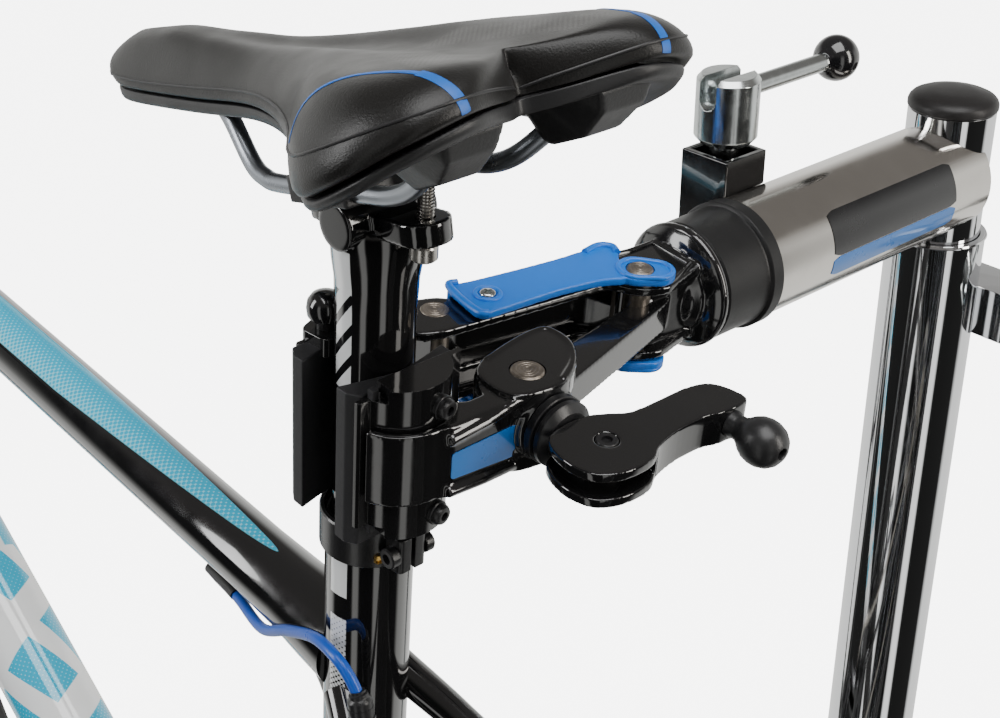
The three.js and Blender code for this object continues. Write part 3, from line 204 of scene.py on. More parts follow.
def tube(path, radius, sides=20, closed=False):
    """A round bar along points; radius is a number or one for each point."""
    pts = [Vector(p) for p in path]
    n = len(pts)
    radii = radius if isinstance(radius, (list, tuple)) else [radius] * n
    rings, normal = [], None
    for i, p in enumerate(pts):
        if closed:
            tangent = (pts[(i + 1) % n] - pts[i - 1]).normalized()
        else:
            tangent = (pts[min(i + 1, n - 1)] - pts[max(i - 1, 0)]).normalized()
        if normal is None:
            normal = tangent.orthogonal().normalized()
        normal = (normal - tangent * normal.dot(tangent)).normalized()
        side = tangent.cross(normal)
        rings.append(
            [
                tuple(
                    p
                    + radii[i]
                    * (
                        normal * math.cos(2 * math.pi * k / sides)
                        + side * math.sin(2 * math.pi * k / sides)
                    )
                )
                for k in range(sides)
            ]
        )
    return loft(rings, closed=closed)


def rod(a, b, radius, sides=32, edge=0.4):
    """A straight round bar with softened ends."""
    a, b = Vector(a), Vector(b)
    length = (b - a).length
    e = min(edge, length / 4, radius / 3)
    shape = lathe(
        [
            (0, 0), (radius - e, 0), (radius, e), (radius, length - e), (radius - e, length),
            (0, length),
        ],
        sides,
    )
    turn = (b - a).to_track_quat("Z", "Y").to_matrix().to_4x4()
    return moved(shape, Matrix.Translation(a) @ turn)


def turned(profile, a, b, sides=64):
    """A solid of revolution about the axis from a towards b."""
    a, b = Vector(a), Vector(b)
    turn = (b - a).to_track_quat("Z", "Y").to_matrix().to_4x4()
    return moved(lathe(profile, sides), Matrix.Translation(a) @ turn)


def pipe(a, b, radius, bore, sides=96, edge=0.5):
    """A straight tube with softened outer rims."""
    length = (Vector(b) - Vector(a)).length
    profile = [
        (bore, 0),
        (radius - edge, 0),
        (radius, edge),
        (radius, length - edge),
        (radius - edge, length),
        (bore, length),
        (bore, 0),
    ]
    return turned(profile, a, b, sides)


def arc(cx, cy, radius, start, end, count):
    """Points on an arc, angles in degrees."""
    return [
        (
            cx + radius * math.cos(math.radians(start + (end - start) * i / count)),
            cy + radius * math.sin(math.radians(start + (end - start) * i / count)),
        )
        for i in range(count + 1)
    ]


def rounded(outline, radius, steps=5):
    """An outline with its corners turned into short curves."""
    out, n = [], len(outline)
    for i in range(n):
        a, p, b = (Vector(outline[(i + k) % n]) for k in (-1, 0, 1))
        ra = min(radius, (a - p).length * 0.45)
        rb = min(radius, (b - p).length * 0.45)
        s, e = p + (a - p).normalized() * ra, p + (b - p).normalized() * rb
        for k in range(steps + 1):
            t = k / steps
            out.append(tuple((1 - t) ** 2 * s + 2 * t * (1 - t) * p + t * t * e))
    return out


def stadium(a, ra, b, rb, steps=12):
    """The outline round two discs."""
    a, b = Vector(a), Vector(b)
    heading = math.degrees(math.atan2(b.y - a.y, b.x - a.x))
    tilt = math.degrees(math.asin((ra - rb) / (b - a).length))
    near = arc(b.x, b.y, rb, heading - 90 + tilt, heading + 90 - tilt, steps)
    return near + arc(a.x, a.y, ra, heading + 90 - tilt, heading + 270 + tilt, steps)


# ---- objects ----------------------------------------------------------------------------------

scene = bpy.context.scene


def new_object(name, shape, base=WORLD):
    """A mesh object from a shape in mm, standing in the frame base."""
    mesh = bpy.data.meshes.new(name)
    mesh.from_pydata([tuple(Vector(p) * MM) for p in shape[0]], [], shape[1])
    obj = bpy.data.objects.new(name, mesh)
    scene.collection.objects.link(obj)
    obj.matrix_world = base
    clean(mesh)
    return obj


def clean(mesh):
    """Joins points that meet, drops empty faces and turns every face outwards."""
    bm = bmesh.new()
    bm.from_mesh(mesh)
    bmesh.ops.remove_doubles(bm, verts=bm.verts, dist=2e-6)
    bmesh.ops.dissolve_degenerate(bm, edges=bm.edges, dist=1e-6)
    bmesh.ops.recalc_face_normals(bm, faces=bm.faces)
    bm.to_mesh(mesh)
    bm.free()


def apply_modifiers(obj):
    """Puts the modifiers' result in place of the mesh."""
    bpy.context.view_layer.update()
    graph = bpy.context.evaluated_depsgraph_get()
    mesh = bpy.data.meshes.new_from_object(obj.evaluated_get(graph))
    old = obj.data
    obj.modifiers.clear()
    obj.data = mesh
    bpy.data.meshes.remove(old)
    obj.data.name = obj.name


def cut(obj, *shapes, dense=False):
    """Takes shapes in the object's own frame out of it; dense is for many small faces."""
    for shape in shapes:
        tool = new_object("tool", shape, obj.matrix_world)
        bpy.context.view_layer.update()
        cutter = obj.modifiers.new("cut", "BOOLEAN")
        cutter.operation = "DIFFERENCE"
        cutter.solver = "FAST" if dense else "EXACT"
        cutter.object = tool
        apply_modifiers(obj)
        bpy.data.objects.remove(tool)


def bevel(obj, width, segments=3, angle=30):
    m = obj.modifiers.new("bevel", "BEVEL")
    m.width = width * MM
    m.segments = segments
    m.limit_method = "ANGLE"
    m.angle_limit = math.radians(angle)
    m.harden_normals = False
    apply_modifiers(obj)


def melt(obj, voxel, rounds=6):
    """Unites overlapping shapes and softens their edges, as a casting's are."""
    m = obj.modifiers.new("remesh", "REMESH")
    m.mode = "VOXEL"
    m.voxel_size = voxel * MM
    s = obj.modifiers.new("smooth", "SMOOTH")
    s.factor = 0.5
    s.iterations = rounds
    apply_modifiers(obj)


def finish(obj, body, material, replaces=(), sharp=35, weighted=True):
    """Shades the piece, gives it its finish and hangs it on its body."""
    obj.data.shade_smooth()
    obj.data.set_sharp_from_angle(angle=math.radians(sharp))
    if weighted:
        m = obj.modifiers.new("normals", "WEIGHTED_NORMAL")
        m.keep_sharp = True
    obj.data.materials.clear()
    obj.data.materials.append(M[material])
    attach(obj, body)
    if replaces:
        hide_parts(*replaces)
    return obj


def piece(name, shape, base, body, material, replaces=(), edge=0.0, segments=2, sharp=35, cuts=()):
    """A piece from a shape: cut, with its edges bevelled, finished."""
    obj = new_object(name, shape, base)
    cut(obj, *cuts)
    if edge:
        bevel(obj, edge, segments)
    return finish(obj, body, material, replaces, sharp)


def casting(name, shape, base, body, material, replaces=(), voxel=0.9, rounds=6, cuts=()):
    """A piece whose shapes run into each other with soft edges."""
    obj = new_object(name, shape, base)
    melt(obj, voxel, rounds)
    cut(obj, *cuts, dense=True)
    return finish(obj, body, material, replaces, sharp=50)


def body_of(node):
    return frame["nodes"][node]["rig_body"]


def softened(node, material, name=None, edge=0.6, voxel=0.0, rounds=6):
    """The CAD node's own shape with softened edges, standing for it."""
    source = frame["nodes"][node]
    obj = bpy.data.objects.new(name or node + "_finish", source.data.copy())
    scene.collection.objects.link(obj)
    clean(obj.data)
    if voxel:
        melt(obj, voxel, rounds)
    elif edge:
        bevel(obj, edge, 2, 28)
    return finish(obj, body_of(node), material, [node], sharp=40 if not voxel else 60)


# ---- materials --------------------------------------------------------------------------------


class Nodes:
    """A short way of writing a material's nodes."""

    def __init__(self, material):
        material.use_nodes = True
        self.tree = material.node_tree
        self.tree.nodes.clear()
        self.out = self.tree.nodes.new("ShaderNodeOutputMaterial")
        self.shader = self.tree.nodes.new("ShaderNodeBsdfPrincipled")
        self.link(self.shader.outputs[0], self.out.inputs[0])
        self.where = self.tree.nodes.new("ShaderNodeTexCoord").outputs["Object"]

    def link(self, a, b):
        self.tree.links.new(a, b)

    def put(self, value, socket):
        if isinstance(value, bpy.types.NodeSocket):
            self.link(value, socket)
        else:
            socket.default_value = value

    def math(self, op, a, b=0.0, c=0.0):
        node = self.tree.nodes.new("ShaderNodeMath")
        node.operation = op
        for value, socket in zip((a, b, c), node.inputs):
            self.put(value, socket)
        return node.outputs[0]

    def ramp(self, value, low, high, to_low=0.0, to_high=1.0):
        node = self.tree.nodes.new("ShaderNodeMapRange")
        for v, name in zip(
            (value, low, high, to_low, to_high),
            ("Value", "From Min", "From Max", "To Min", "To Max"),
        ):
            self.put(v, node.inputs[name])
        return node.outputs[0]

    def stretch(self, scale):
        node = self.tree.nodes.new("ShaderNodeMapping")
        node.inputs["Scale"].default_value = scale
        self.link(self.where, node.inputs[0])
        return node.outputs[0]

    def noise(self, scale, detail=4.0, vector=None, rough=0.55):
        node = self.tree.nodes.new("ShaderNodeTexNoise")
        node.inputs["Scale"].default_value = scale
        node.inputs["Detail"].default_value = detail
        node.inputs["Roughness"].default_value = rough
        self.link(vector or self.where, node.inputs["Vector"])
        return node.outputs["Fac"]

    def mix(self, factor, a, b):
        node = self.tree.nodes.new("ShaderNodeMix")
        node.data_type = "RGBA"
        self.put(factor, node.inputs[0])
        self.put(a, node.inputs[6])
        self.put(b, node.inputs[7])
        return node.outputs[2]

    def bump(self, height, strength, distance):
        node = self.tree.nodes.new("ShaderNodeBump")
        node.inputs["Strength"].default_value = strength
        node.inputs["Distance"].default_value = distance
        self.link(height, node.inputs["Height"])
        return node.outputs["Normal"]

    def axes(self):
        node = self.tree.nodes.new("ShaderNodeSeparateXYZ")
        self.link(self.where, node.inputs[0])
        return node.outputs

    def set(self, name, value):
        self.put(value, self.shader.inputs[name])


def shade(colour, share):
    """A colour made darker or lighter by share."""
    return tuple(min(1.0, c * share) for c in colour[:3]) + (1.0,)


def surface(
    name,
    colour,
    rough,
    metal=0.0,
    coat=0.0,
    vary=0.08,
    blotch=18.0,
    smear=0.05,
    grain=(900.0, 0.05, 0.0002),
    brushed=None,
    sheen=0.0,
    shine=0.5,
):
    """A finish with uneven colour, uneven gloss and a fine surface grain."""
    material = bpy.data.materials.new(name + "_finish")
    n = Nodes(material)
    patches = n.noise(blotch, 5.0)
    n.set(
        "Base Color",
        n.mix(n.ramp(patches, 0.3, 0.7), shade(colour, 1 - vary), shade(colour, 1 + vary)),
    )
    smudge = n.noise(blotch * 3.1, 6.0)
    n.set("Roughness", n.ramp(smudge, 0.3, 0.75, max(rough - smear, 0.01), rough + smear))
    n.set("Metallic", metal)
    n.set("Specular IOR Level", shine)
    scale, strength, depth = grain
    stretched = n.stretch(brushed) if brushed else None
    n.set("Normal", n.bump(n.noise(scale, 2.0, stretched), strength, depth))
    if coat:
        n.set("Coat Weight", coat)
        n.set("Coat Roughness", 0.03)
    if sheen:
        n.set("Sheen Weight", sheen)
        n.set("Sheen Roughness", 0.4)
    return material


def reopened(material):
    """The node helper for a material that surface() has made."""
    n = Nodes.__new__(Nodes)
    n.tree = material.node_tree
    n.shader = n.tree.nodes["Principled BSDF"]
    n.where = n.tree.nodes["Texture Coordinate"].outputs["Object"]
    return n


def mesh_patches(material):
    """Fields of fine pits beside the saddle's centre channel."""
    n = reopened(material)
    x, y, _ = (n.math("MULTIPLY", axis, 1000.0) for axis in n.axes())
    far = n.math("ABSOLUTE", y)
    rim = n.math("ADD", n.math("MULTIPLY", x, -0.42), -2.0)
    field = n.math(
        "MULTIPLY", inside(n, x, -96, -42), inside(n, n.math("SUBTRACT", far, rim), -16, 4)
    )
    pits = n.math("MULTIPLY", dots(n, x, y, 1.7, 0.3), field)
    colour = n.shader.inputs["Base Color"].links[0].from_socket
    n.link(n.mix(pits, colour, (0.045, 0.044, 0.042, 1)), n.shader.inputs["Base Color"])


def make_materials():
    m = {}

    def add(name, *args, slot=None, **words):
        m[name] = surface(name, *args, **words)
        m[name]["slot"] = slot or name

    add("plate_steel", (0.022, 0.023, 0.025), 0.5, grain=(420, 0.35, 0.0004))
    add(
        "chrome_steel", (0.78, 0.79, 0.81), 0.06, metal=1, vary=0.02, smear=0.02,
        grain=(900, 0.02, 0.00005),
    )
    add("cap_black", (0.012, 0.011, 0.011), 0.45, grain=(700, 0.2, 0.0002), shine=0.35)
    add(
        "arm_nickel",
        (0.7, 0.67, 0.63),
        0.15,
        metal=1,
        vary=0.05,
        grain=(700, 0.05, 0.0002),
        brushed=(1, 0.03, 1),
    )
    add("bushing_black", (0.009, 0.009, 0.0095), 0.42, grain=(1200, 0.2, 0.0002), shine=0.35)
    add(
        "zinc_steel", (0.6, 0.63, 0.63), 0.2, metal=1, vary=0.08, blotch=60,
        grain=(260, 0.15, 0.0003),
    )
    add("ball_black", (0.008, 0.008, 0.009), 0.14, coat=0.6, grain=(90, 0.03, 0.0003))
    add("casting_black", (0.007, 0.007, 0.0075), 0.12, coat=0.8, vary=0.2, grain=(150, 0.1, 0.0004))
    add(
        "pin_steel", (0.3, 0.26, 0.22), 0.38, metal=1, vary=0.25, blotch=240,
        grain=(1500, 0.3, 0.0002),
    )
    add("lever_blue", (0.003, 0.15, 0.62), 0.36, vary=0.05, grain=(900, 0.15, 0.0002))
    add("pad_rubber", (0.014, 0.014, 0.016), 0.55, grain=(900, 0.3, 0.0002), sheen=0.05, shine=0.35)
    add("washer_black", (0.01, 0.01, 0.011), 0.35, grain=(700, 0.2, 0.0002))
    add(
        "clamp_zinc", (0.5, 0.48, 0.45), 0.28, metal=1, vary=0.1, blotch=80,
        grain=(300, 0.2, 0.0003),
    )
    add("rail_gunmetal", (0.3, 0.32, 0.35), 0.3, metal=1, vary=0.06, grain=(900, 0.1, 0.0002))
    add("shell_black", (0.012, 0.012, 0.013), 0.42, grain=(900, 0.3, 0.0002))
    add("alloy_black", (0.012, 0.012, 0.013), 0.32, metal=0.0, coat=0.2, grain=(900, 0.2, 0.0002))
    add("fork_black", (0.008, 0.008, 0.009), 0.16, coat=0.7, grain=(120, 0.05, 0.0003))
    add(
        "chain_steel", (0.36, 0.34, 0.31), 0.35, metal=1, vary=0.2, blotch=300,
        grain=(900, 0.2, 0.0002),
    )
    add("cable_blue", (0.004, 0.075, 0.45), 0.32, vary=0.05, grain=(700, 0.2, 0.0002))
    add("frame_black", (0.006, 0.006, 0.0065), 0.1, coat=1.0, vary=0.15, grain=(70, 0.03, 0.0004))
    add("frame_white", (0.76, 0.79, 0.8), 0.14, coat=1.0, vary=0.02, grain=(70, 0.03, 0.0004))
    add(
        "seatpost_black", (0.006, 0.006, 0.0065), 0.1, coat=1.0, vary=0.15, grain=(70, 0.03, 0.0004)
    )
    add("grip_rubber", (0.02, 0.02, 0.02), 0.75, grain=(320, 0.8, 0.0006))
    add("tyre_rubber", (0.018, 0.018, 0.018), 0.8, grain=(220, 0.5, 0.0006))
    add(
        "frame_gloss", (0.006, 0.006, 0.0065), 0.1, slot="seatpost_black", coat=1.0, vary=0.15,
        grain=(70, 0.03, 0.0004),
    )
    add("brass", (0.62, 0.4, 0.12), 0.3, slot="clamp_zinc", metal=1, grain=(400, 0.1, 0.0001))
    add(
        "stanchion", (0.05, 0.045, 0.04), 0.08, slot="fork_black", metal=1, coat=0.4, vary=0.05,
        grain=(60, 0.02, 0.0002),
    )
    add(
        "label_black", (0.006, 0.006, 0.007), 0.25, slot="casting_black", coat=0.5,
        grain=(500, 0.05, 0.0001),
    )
    add(
        "label_blue", (0.003, 0.15, 0.52), 0.3, slot="lever_blue", coat=0.5, vary=0.03,
        grain=(500, 0.05, 0.0001),
    )
    add("grip_smooth", (0.014, 0.014, 0.015), 0.38, slot="washer_black", grain=(900, 0.2, 0.0002))
    add(
        "trim_blue", (0.004, 0.11, 0.46), 0.45, slot="cable_blue", vary=0.04,
        grain=(900, 0.2, 0.0002),
    )
    add(
        "saddle_skin", (0.007, 0.0066, 0.0062), 0.36, vary=0.12, grain=(1400, 0.35, 0.0003),
        sheen=0.02, shine=0.35,
    )
    mesh_patches(m["saddle_skin"])
    return m


def polar(n, radius):
    """Distance round a tube from its own y towards its own x, and height along it, in mm."""
    x, y, z = n.axes()
    angle = n.math("ARCTAN2", x, y)
    return n.math("MULTIPLY", angle, radius), n.math("MULTIPLY", z, 1000.0)


def inside(n, value, low, high, soft=0.15):
    """1 where low < value < high."""
    return n.math(
        "MULTIPLY", n.ramp(value, low - soft, low + soft),
        n.ramp(value, high - soft, high + soft, 1.0, 0.0),
    )


def dots(n, across, up, pitch, size):
    """A halftone of round dots on a slanted grid; size is a share of the pitch."""
    u = n.math("FRACT", n.math("DIVIDE", n.math("ADD", across, up), pitch * 1.414))
    v = n.math("FRACT", n.math("DIVIDE", n.math("SUBTRACT", across, up), pitch * 1.414))
    du, dv = n.math("SUBTRACT", u, 0.5), n.math("SUBTRACT", v, 0.5)
    far = n.math("SQRT", n.math("ADD", n.math("MULTIPLY", du, du), n.math("MULTIPLY", dv, dv)))
    return n.ramp(n.math("SUBTRACT", size, far), -0.04, 0.04)


def painted(name, slot, ground, radius, graphics):
    """Glossy paint on a tube; graphics(n, across, up) gives (mask, colour) pairs to lay on it."""
    material = surface(name, ground, 0.1, coat=1.0, vary=0.05, grain=(70, 0.03, 0.0004))
    material["slot"] = slot
    n = reopened(material)
    across, up = polar(n, radius)
    colour = n.shader.inputs["Base Color"].links[0].from_socket
    for mask, paint in graphics(n, across, up):
        colour = n.mix(mask, colour, paint)
    n.link(colour, n.shader.inputs["Base Color"])
    return material


WHITE = (0.82, 0.84, 0.85, 1)
CYAN = (0.0, 0.4, 0.62, 1)
PALE_CYAN = (0.22, 0.62, 0.76, 1)
INK = (0.006, 0.006, 0.0065, 1)


def seatpost_graphics(n, across, up):
    side = n.math(
        "SUBTRACT", n.math("ABSOLUTE", n.math("SUBTRACT", n.math("ABSOLUTE", across), 24.27)), 24.27
    )
    strip = inside(n, side, -4.6, 5)
    solid = inside(n, up, 60, 78)
    wave = n.math("PINGPONG", n.math("ADD", up, n.math("MULTIPLY", across, 1.4)), 6.5)
    zigzag = n.math("MULTIPLY", inside(n, wave, 2.4, 9), inside(n, up, 18, 60.2))
    return [(n.math("MULTIPLY", strip, n.math("MAXIMUM", solid, zigzag)), WHITE)]


def seat_tube_graphics(n, across, up):
    side = n.math("SUBTRACT", n.math("ABSOLUTE", across), 31.4)
    strip = inside(n, side, -4.4, 4.4)
    block = inside(n, up, 485.5, 503.5)
    fade = n.ramp(up, 400, 474, 0.25, 0.62)
    half = n.math("MULTIPLY", inside(n, up, 400, 474), dots(n, across, up, 2.1, fade))
    return [(n.math("MULTIPLY", strip, n.math("MAXIMUM", block, half)), WHITE)]


def top_tube_graphics(n, across, up):
    wedge = n.math("MULTIPLY", n.math("POWER", n.ramp(up, 62, 240), 0.6), 10.8)
    middle = n.ramp(up, 62, 330, 1.8, 4.4)
    gap = n.math("ABSOLUTE", n.math("SUBTRACT", across, middle))
    mask = n.math(
        "MULTIPLY", n.ramp(n.math("SUBTRACT", wedge, gap), -0.3, 0.3), inside(n, up, 62, 470)
    )
    grid = dots(n, across, up, 2.4, n.ramp(n.math("SUBTRACT", across, middle), -8, 10, 0.66, 0.34))
    return [(mask, PALE_CYAN), (n.math("MULTIPLY", mask, grid), CYAN)]


def down_tube_graphics(n, across, up):
    cell = n.math("PINGPONG", n.math("ADD", up, n.math("MULTIPLY", across, 0.55)), 34.0)
    other = n.math("PINGPONG", n.math("SUBTRACT", up, n.math("MULTIPLY", across, 1.9)), 40.0)
    blocks = n.math("MULTIPLY", inside(n, cell, 12, 40, 0.3), inside(n, other, 14, 50, 0.3))
    blocks = n.math("MULTIPLY", blocks, inside(n, up, 110, 640))
    grid = dots(n, across, up, 2.6, n.ramp(up, 150, 620, 0.5, 0.66))
    band = n.math("MULTIPLY", inside(n, up, 455, 640), n.ramp(n.math("ABSOLUTE", across), 12, 13))
    shown = n.math("MAXIMUM", blocks, band)
    belly = n.ramp(n.math("ABSOLUTE", across), 52, 52.3)
    return [(shown, PALE_CYAN), (n.math("MULTIPLY", shown, grid), CYAN), (belly, INK)]


M = make_materials()
M["seatpost_black"] = painted("seatpost_graphic", "seatpost_black", INK, 15.45, seatpost_graphics)
M["seat_tube_paint"] = painted("seat_tube_graphic", "frame_black", INK, 18.2, seat_tube_graphics)
M["top_tube_paint"] = painted("top_tube_graphic", "frame_black", INK, 16.75, top_tube_graphics)
M["down_tube_paint"] = painted("down_tube_graphic", "frame_white", WHITE, 25.0, down_tube_graphics)

# ---- camera, floor and light -------------------------------------------------------------------

CAMERA_AT = Vector((-0.4446, 0.7080, 1.4701))
LOOKS = Vector((0.6566, -0.5885, -0.4718))
CAMERA_UP = Vector((0.351, -0.3147, 0.8817))


def make_camera():
    data = bpy.data.cameras.new("camera")
    data.lens = 59.58
    data.sensor_width = 36
    data.clip_start = 0.02
    camera = bpy.data.objects.new("camera", data)
    back = -LOOKS.normalized()
    right = CAMERA_UP.cross(back).normalized()
    up = back.cross(right)
    turn = Matrix((right, up, back)).transposed().to_4x4()
    camera.matrix_world = Matrix.Translation(CAMERA_AT) @ turn
    scene.collection.objects.link(camera)
    scene.camera = camera


def area_light(name, at, target, size, power, colour=(1, 1, 1)):
    data = bpy.data.lights.new(name, "AREA")
    data.shape = "RECTANGLE"
    data.size, data.size_y = size
    data.energy = power
    data.color = colour
    light = bpy.data.objects.new(name, data)
    light.matrix_world = Matrix.Translation(Vector(at)) @ (
        Vector(at) - Vector(target)
    ).to_track_quat("Z", "Y").to_matrix().to_4x4()
    scene.collection.objects.link(light)


# Brightness by direction: by share of the half turn from the camera, then by height (0 down, 1 up).
ROOM_ROUND = (
    (0.0, 0.01), (0.1, 0.01), (0.125, 1.3), (0.19, 1.3), (0.215, 0.015), (0.5, 0.02),
    (0.56, 1.1), (1.0, 1.2)
)
ROOM_HEIGHT = ((0.0, 0.0), (0.05, 1.0), (0.36, 1.0), (0.6, 1.0), (0.74, 0.0), (1.0, 0.0))
ROOM_TURN = 0.12
CEILING = (0.2, 0.19, 0.18, 1)
FLOOR_GLOW = 6.0
FLOOR_R, SWEEP_R, DOME_TOP = 9000, 6000, 26000


def build_room(tree, background):
    """A dark room with bright strips at the camera's sides and a bright far wall, to reflect."""
    where = tree.nodes.new("ShaderNodeTexCoord")
    turn = tree.nodes.new("ShaderNodeVectorRotate")
    turn.rotation_type = "Z_AXIS"
    turn.inputs["Angle"].default_value = -math.atan2(-LOOKS.y, -LOOKS.x)
    axes = tree.nodes.new("ShaderNodeSeparateXYZ")
    tree.links.new(where.outputs["Generated"], turn.inputs["Vector"])
    tree.links.new(turn.outputs[0], axes.inputs[0])

    def calc(op, a, b=0.0):
        node = tree.nodes.new("ShaderNodeMath")
        node.operation = op
        for value, socket in zip((a, b), node.inputs):
            if isinstance(value, float):
                socket.default_value = value
            else:
                tree.links.new(value, socket)
        return node.outputs[0]

    def ramp(value, stops):
        node = tree.nodes.new("ShaderNodeValToRGB")
        elements = node.color_ramp.elements
        while len(elements) < len(stops):
            elements.new(0.5)
        for element, (position, level) in zip(elements, stops):
            element.position = position
            element.color = (level, level, level * 0.97, 1)
        tree.links.new(value, node.inputs[0])
        return node.outputs[0]

    around = calc(
        "MULTIPLY",
        calc("ABSOLUTE", calc("ADD", calc("ARCTAN2", axes.outputs[1], axes.outputs[0]), ROOM_TURN)),
        1 / math.pi,
    )
    boxes = ramp(around, ROOM_ROUND)
    height = calc("MULTIPLY", calc("ADD", axes.outputs[2], 1.0), 0.5)
    band = ramp(height, ROOM_HEIGHT)
    blend = tree.nodes.new("ShaderNodeMix")
    blend.data_type = "RGBA"
    tree.links.new(band, blend.inputs[0])
    blend.inputs[6].default_value = CEILING
    tree.links.new(boxes, blend.inputs[7])
    tree.links.new(blend.outputs[2], background.inputs["Color"])


def make_studio():
    """A pale floor that sweeps up into a dome, the room for reflections, and three soft boxes."""
    sweep = [(0, -1), (FLOOR_R, -1), *arc(FLOOR_R, SWEEP_R - 1, SWEEP_R, -84, 0, 14)]
    sweep += [(FLOOR_R + SWEEP_R, 20000), (0, DOME_TOP)]
    ground = new_object("studio_floor", lathe(sweep, 96))
    floor_material = surface(
        "floor_pale", (0.93, 0.93, 0.92), 0.6, vary=0.01, grain=(40, 0.02, 0.001)
    )
    shader = floor_material.node_tree.nodes["Principled BSDF"]
    shader.inputs["Emission Color"].default_value = (1, 1, 1, 1)
    shader.inputs["Emission Strength"].default_value = FLOOR_GLOW
    ground.visible_glossy = False
    ground.visible_diffuse = False
    ground.visible_shadow = False
    ground.data.materials.append(floor_material)
    world = bpy.data.worlds.new("studio")
    scene.world = world
    world.use_nodes = True
    tree = world.node_tree
    background = tree.nodes["Background"]
    build_room(tree, background)
    area_light("soft_top", (-0.5, 0.5, 3.0), (0, 0.35, 1.1), (1.6, 1.6), 46)
    area_light("soft_left", (1.3, 2.2, 1.9), (0.1, 0.35, 1.1), (0.7, 1.8), 38)
    area_light("soft_right", (-1.9, -0.6, 1.7), (0, 0.2, 1.1), (0.5, 1.8), 30, (1, 0.96, 0.9))


make_camera()
make_studio()

# ---- stand ---------------------------------------------------------------------------------------

UPPER_R = 22.225
LOWER_R = 25.4
ARM_R = 28.575
ARM_END = 164.5
SLEEVE_END = 199.6
SHAFT_R = 21
POST_TOP = ARM_HEIGHT + 36
LOWER_TOP = ARM_HEIGHT - 31.4
TUBE_WALL = 3.05
OVERLAP = 760
PLATE_X, PLATE_BACK, PLATE_FRONT, PLATE_CORNER = 275, -145, 405, 25
FOOT_Z = 20.3
PIVOT_Z = 27
KNOB_R = 11.4
LEVER_R = 4.55


def label_skin(name, corners, radius, base, body, material, lift=0.25, steps=40):
    """A thin sticker on a tube round y: corners are (y0, y1, angle0, angle1), angles up from -x."""
    y0, y1, a0, a1 = corners
    columns = []
    for i in range(steps + 1):
        y = y0 + (y1 - y0) * i / steps
        inset = 3.2 * max(0.0, 1 - min(i, steps - i) / 1.6)
        columns.append((y, a0 + inset, a1 - inset))
    grid = []
    for y, lo, hi in columns:
        ring = []
        for r, span in ((radius + 0.02, range(25)), (radius + lift, reversed(range(25)))):
            for k in span:
                a = math.radians(lo + (hi - lo) * k / 24)
                ring.append((-r * math.cos(a), y, r * math.sin(a)))
        grid.append(ring)
    return piece(name, loft(grid), base, body, material)


def lock_barrel_shape():
    body = lathe(
        [
            (0, -22), (5, -22), (5, -4), (7, -4), (7, 3.4), (12, 4), (15, 7.4), (15, 34.4),
            (12.8, 37), (0, 37),
        ], 72
    )
    thread = [
        lathe([(4.6, z), (5.5, z + 0.5), (4.6, z + 1), (4.6, z)], 32)
        for z in [-21 + 1.25 * i for i in range(13)]
    ]
    return merge(body, *thread)


def build_lock(kind, base, body, handle, barrel_node, lever_nodes, ball_name):
    slot_half = 4.9
    slot = box(-slot_half, slot_half, -17, 17, PIVOT_Z, PIVOT_Z + 13)
    round_floor = rod((0, -17, PIVOT_Z), (0, 17, PIVOT_Z), slot_half, 32)
    cross = rod((-17, 0, PIVOT_Z), (17, 0, PIVOT_Z), 1.4, 20)
    barrel = new_object(kind + "_barrel_body", lock_barrel_shape(), base)
    cut(barrel, slot, round_floor)
    bevel(barrel, 0.5, 2, 40)
    finish(barrel, body, "zinc_steel", [barrel_node])
    piece(
        kind + "_cross_pin", moved(cross, Matrix.Scale(0.88, 4, Vector((1, 0, 0)))), base, body,
        "pin_steel",
    )
    eye = lathe(
        [(0, -4.5)] + [
            (4.6 * math.cos(math.radians(a)), 4.6 * math.sin(math.radians(a)))
            for a in range(-80, 81, 10)
        ] + [(0, 4.6)],
        32,
    )
    lever = merge(
        tube(
            [(0, 0, PIVOT_Z), (0, -20, PIVOT_Z), (0, -60, PIVOT_Z), (0, -74, PIVOT_Z)], LEVER_R, 32
        ),
        shifted(eye, 0, 0, PIVOT_Z),
    )
    piece(kind + "_lever_rod", lever, base, handle, "zinc_steel", lever_nodes[:1])
    ball = [(0, -11.2), (4.9, -10.6)] + [
        (KNOB_R * math.cos(math.radians(a)), KNOB_R * math.sin(math.radians(a)))
        for a in range(-62, 86, 6)
    ] + [(0, KNOB_R)]
    piece(
        ball_name, turned(ball, (0, -80, PIVOT_Z), (0, -200, PIVOT_Z), 64), base, handle,
        "ball_black", lever_nodes[1:],
    )


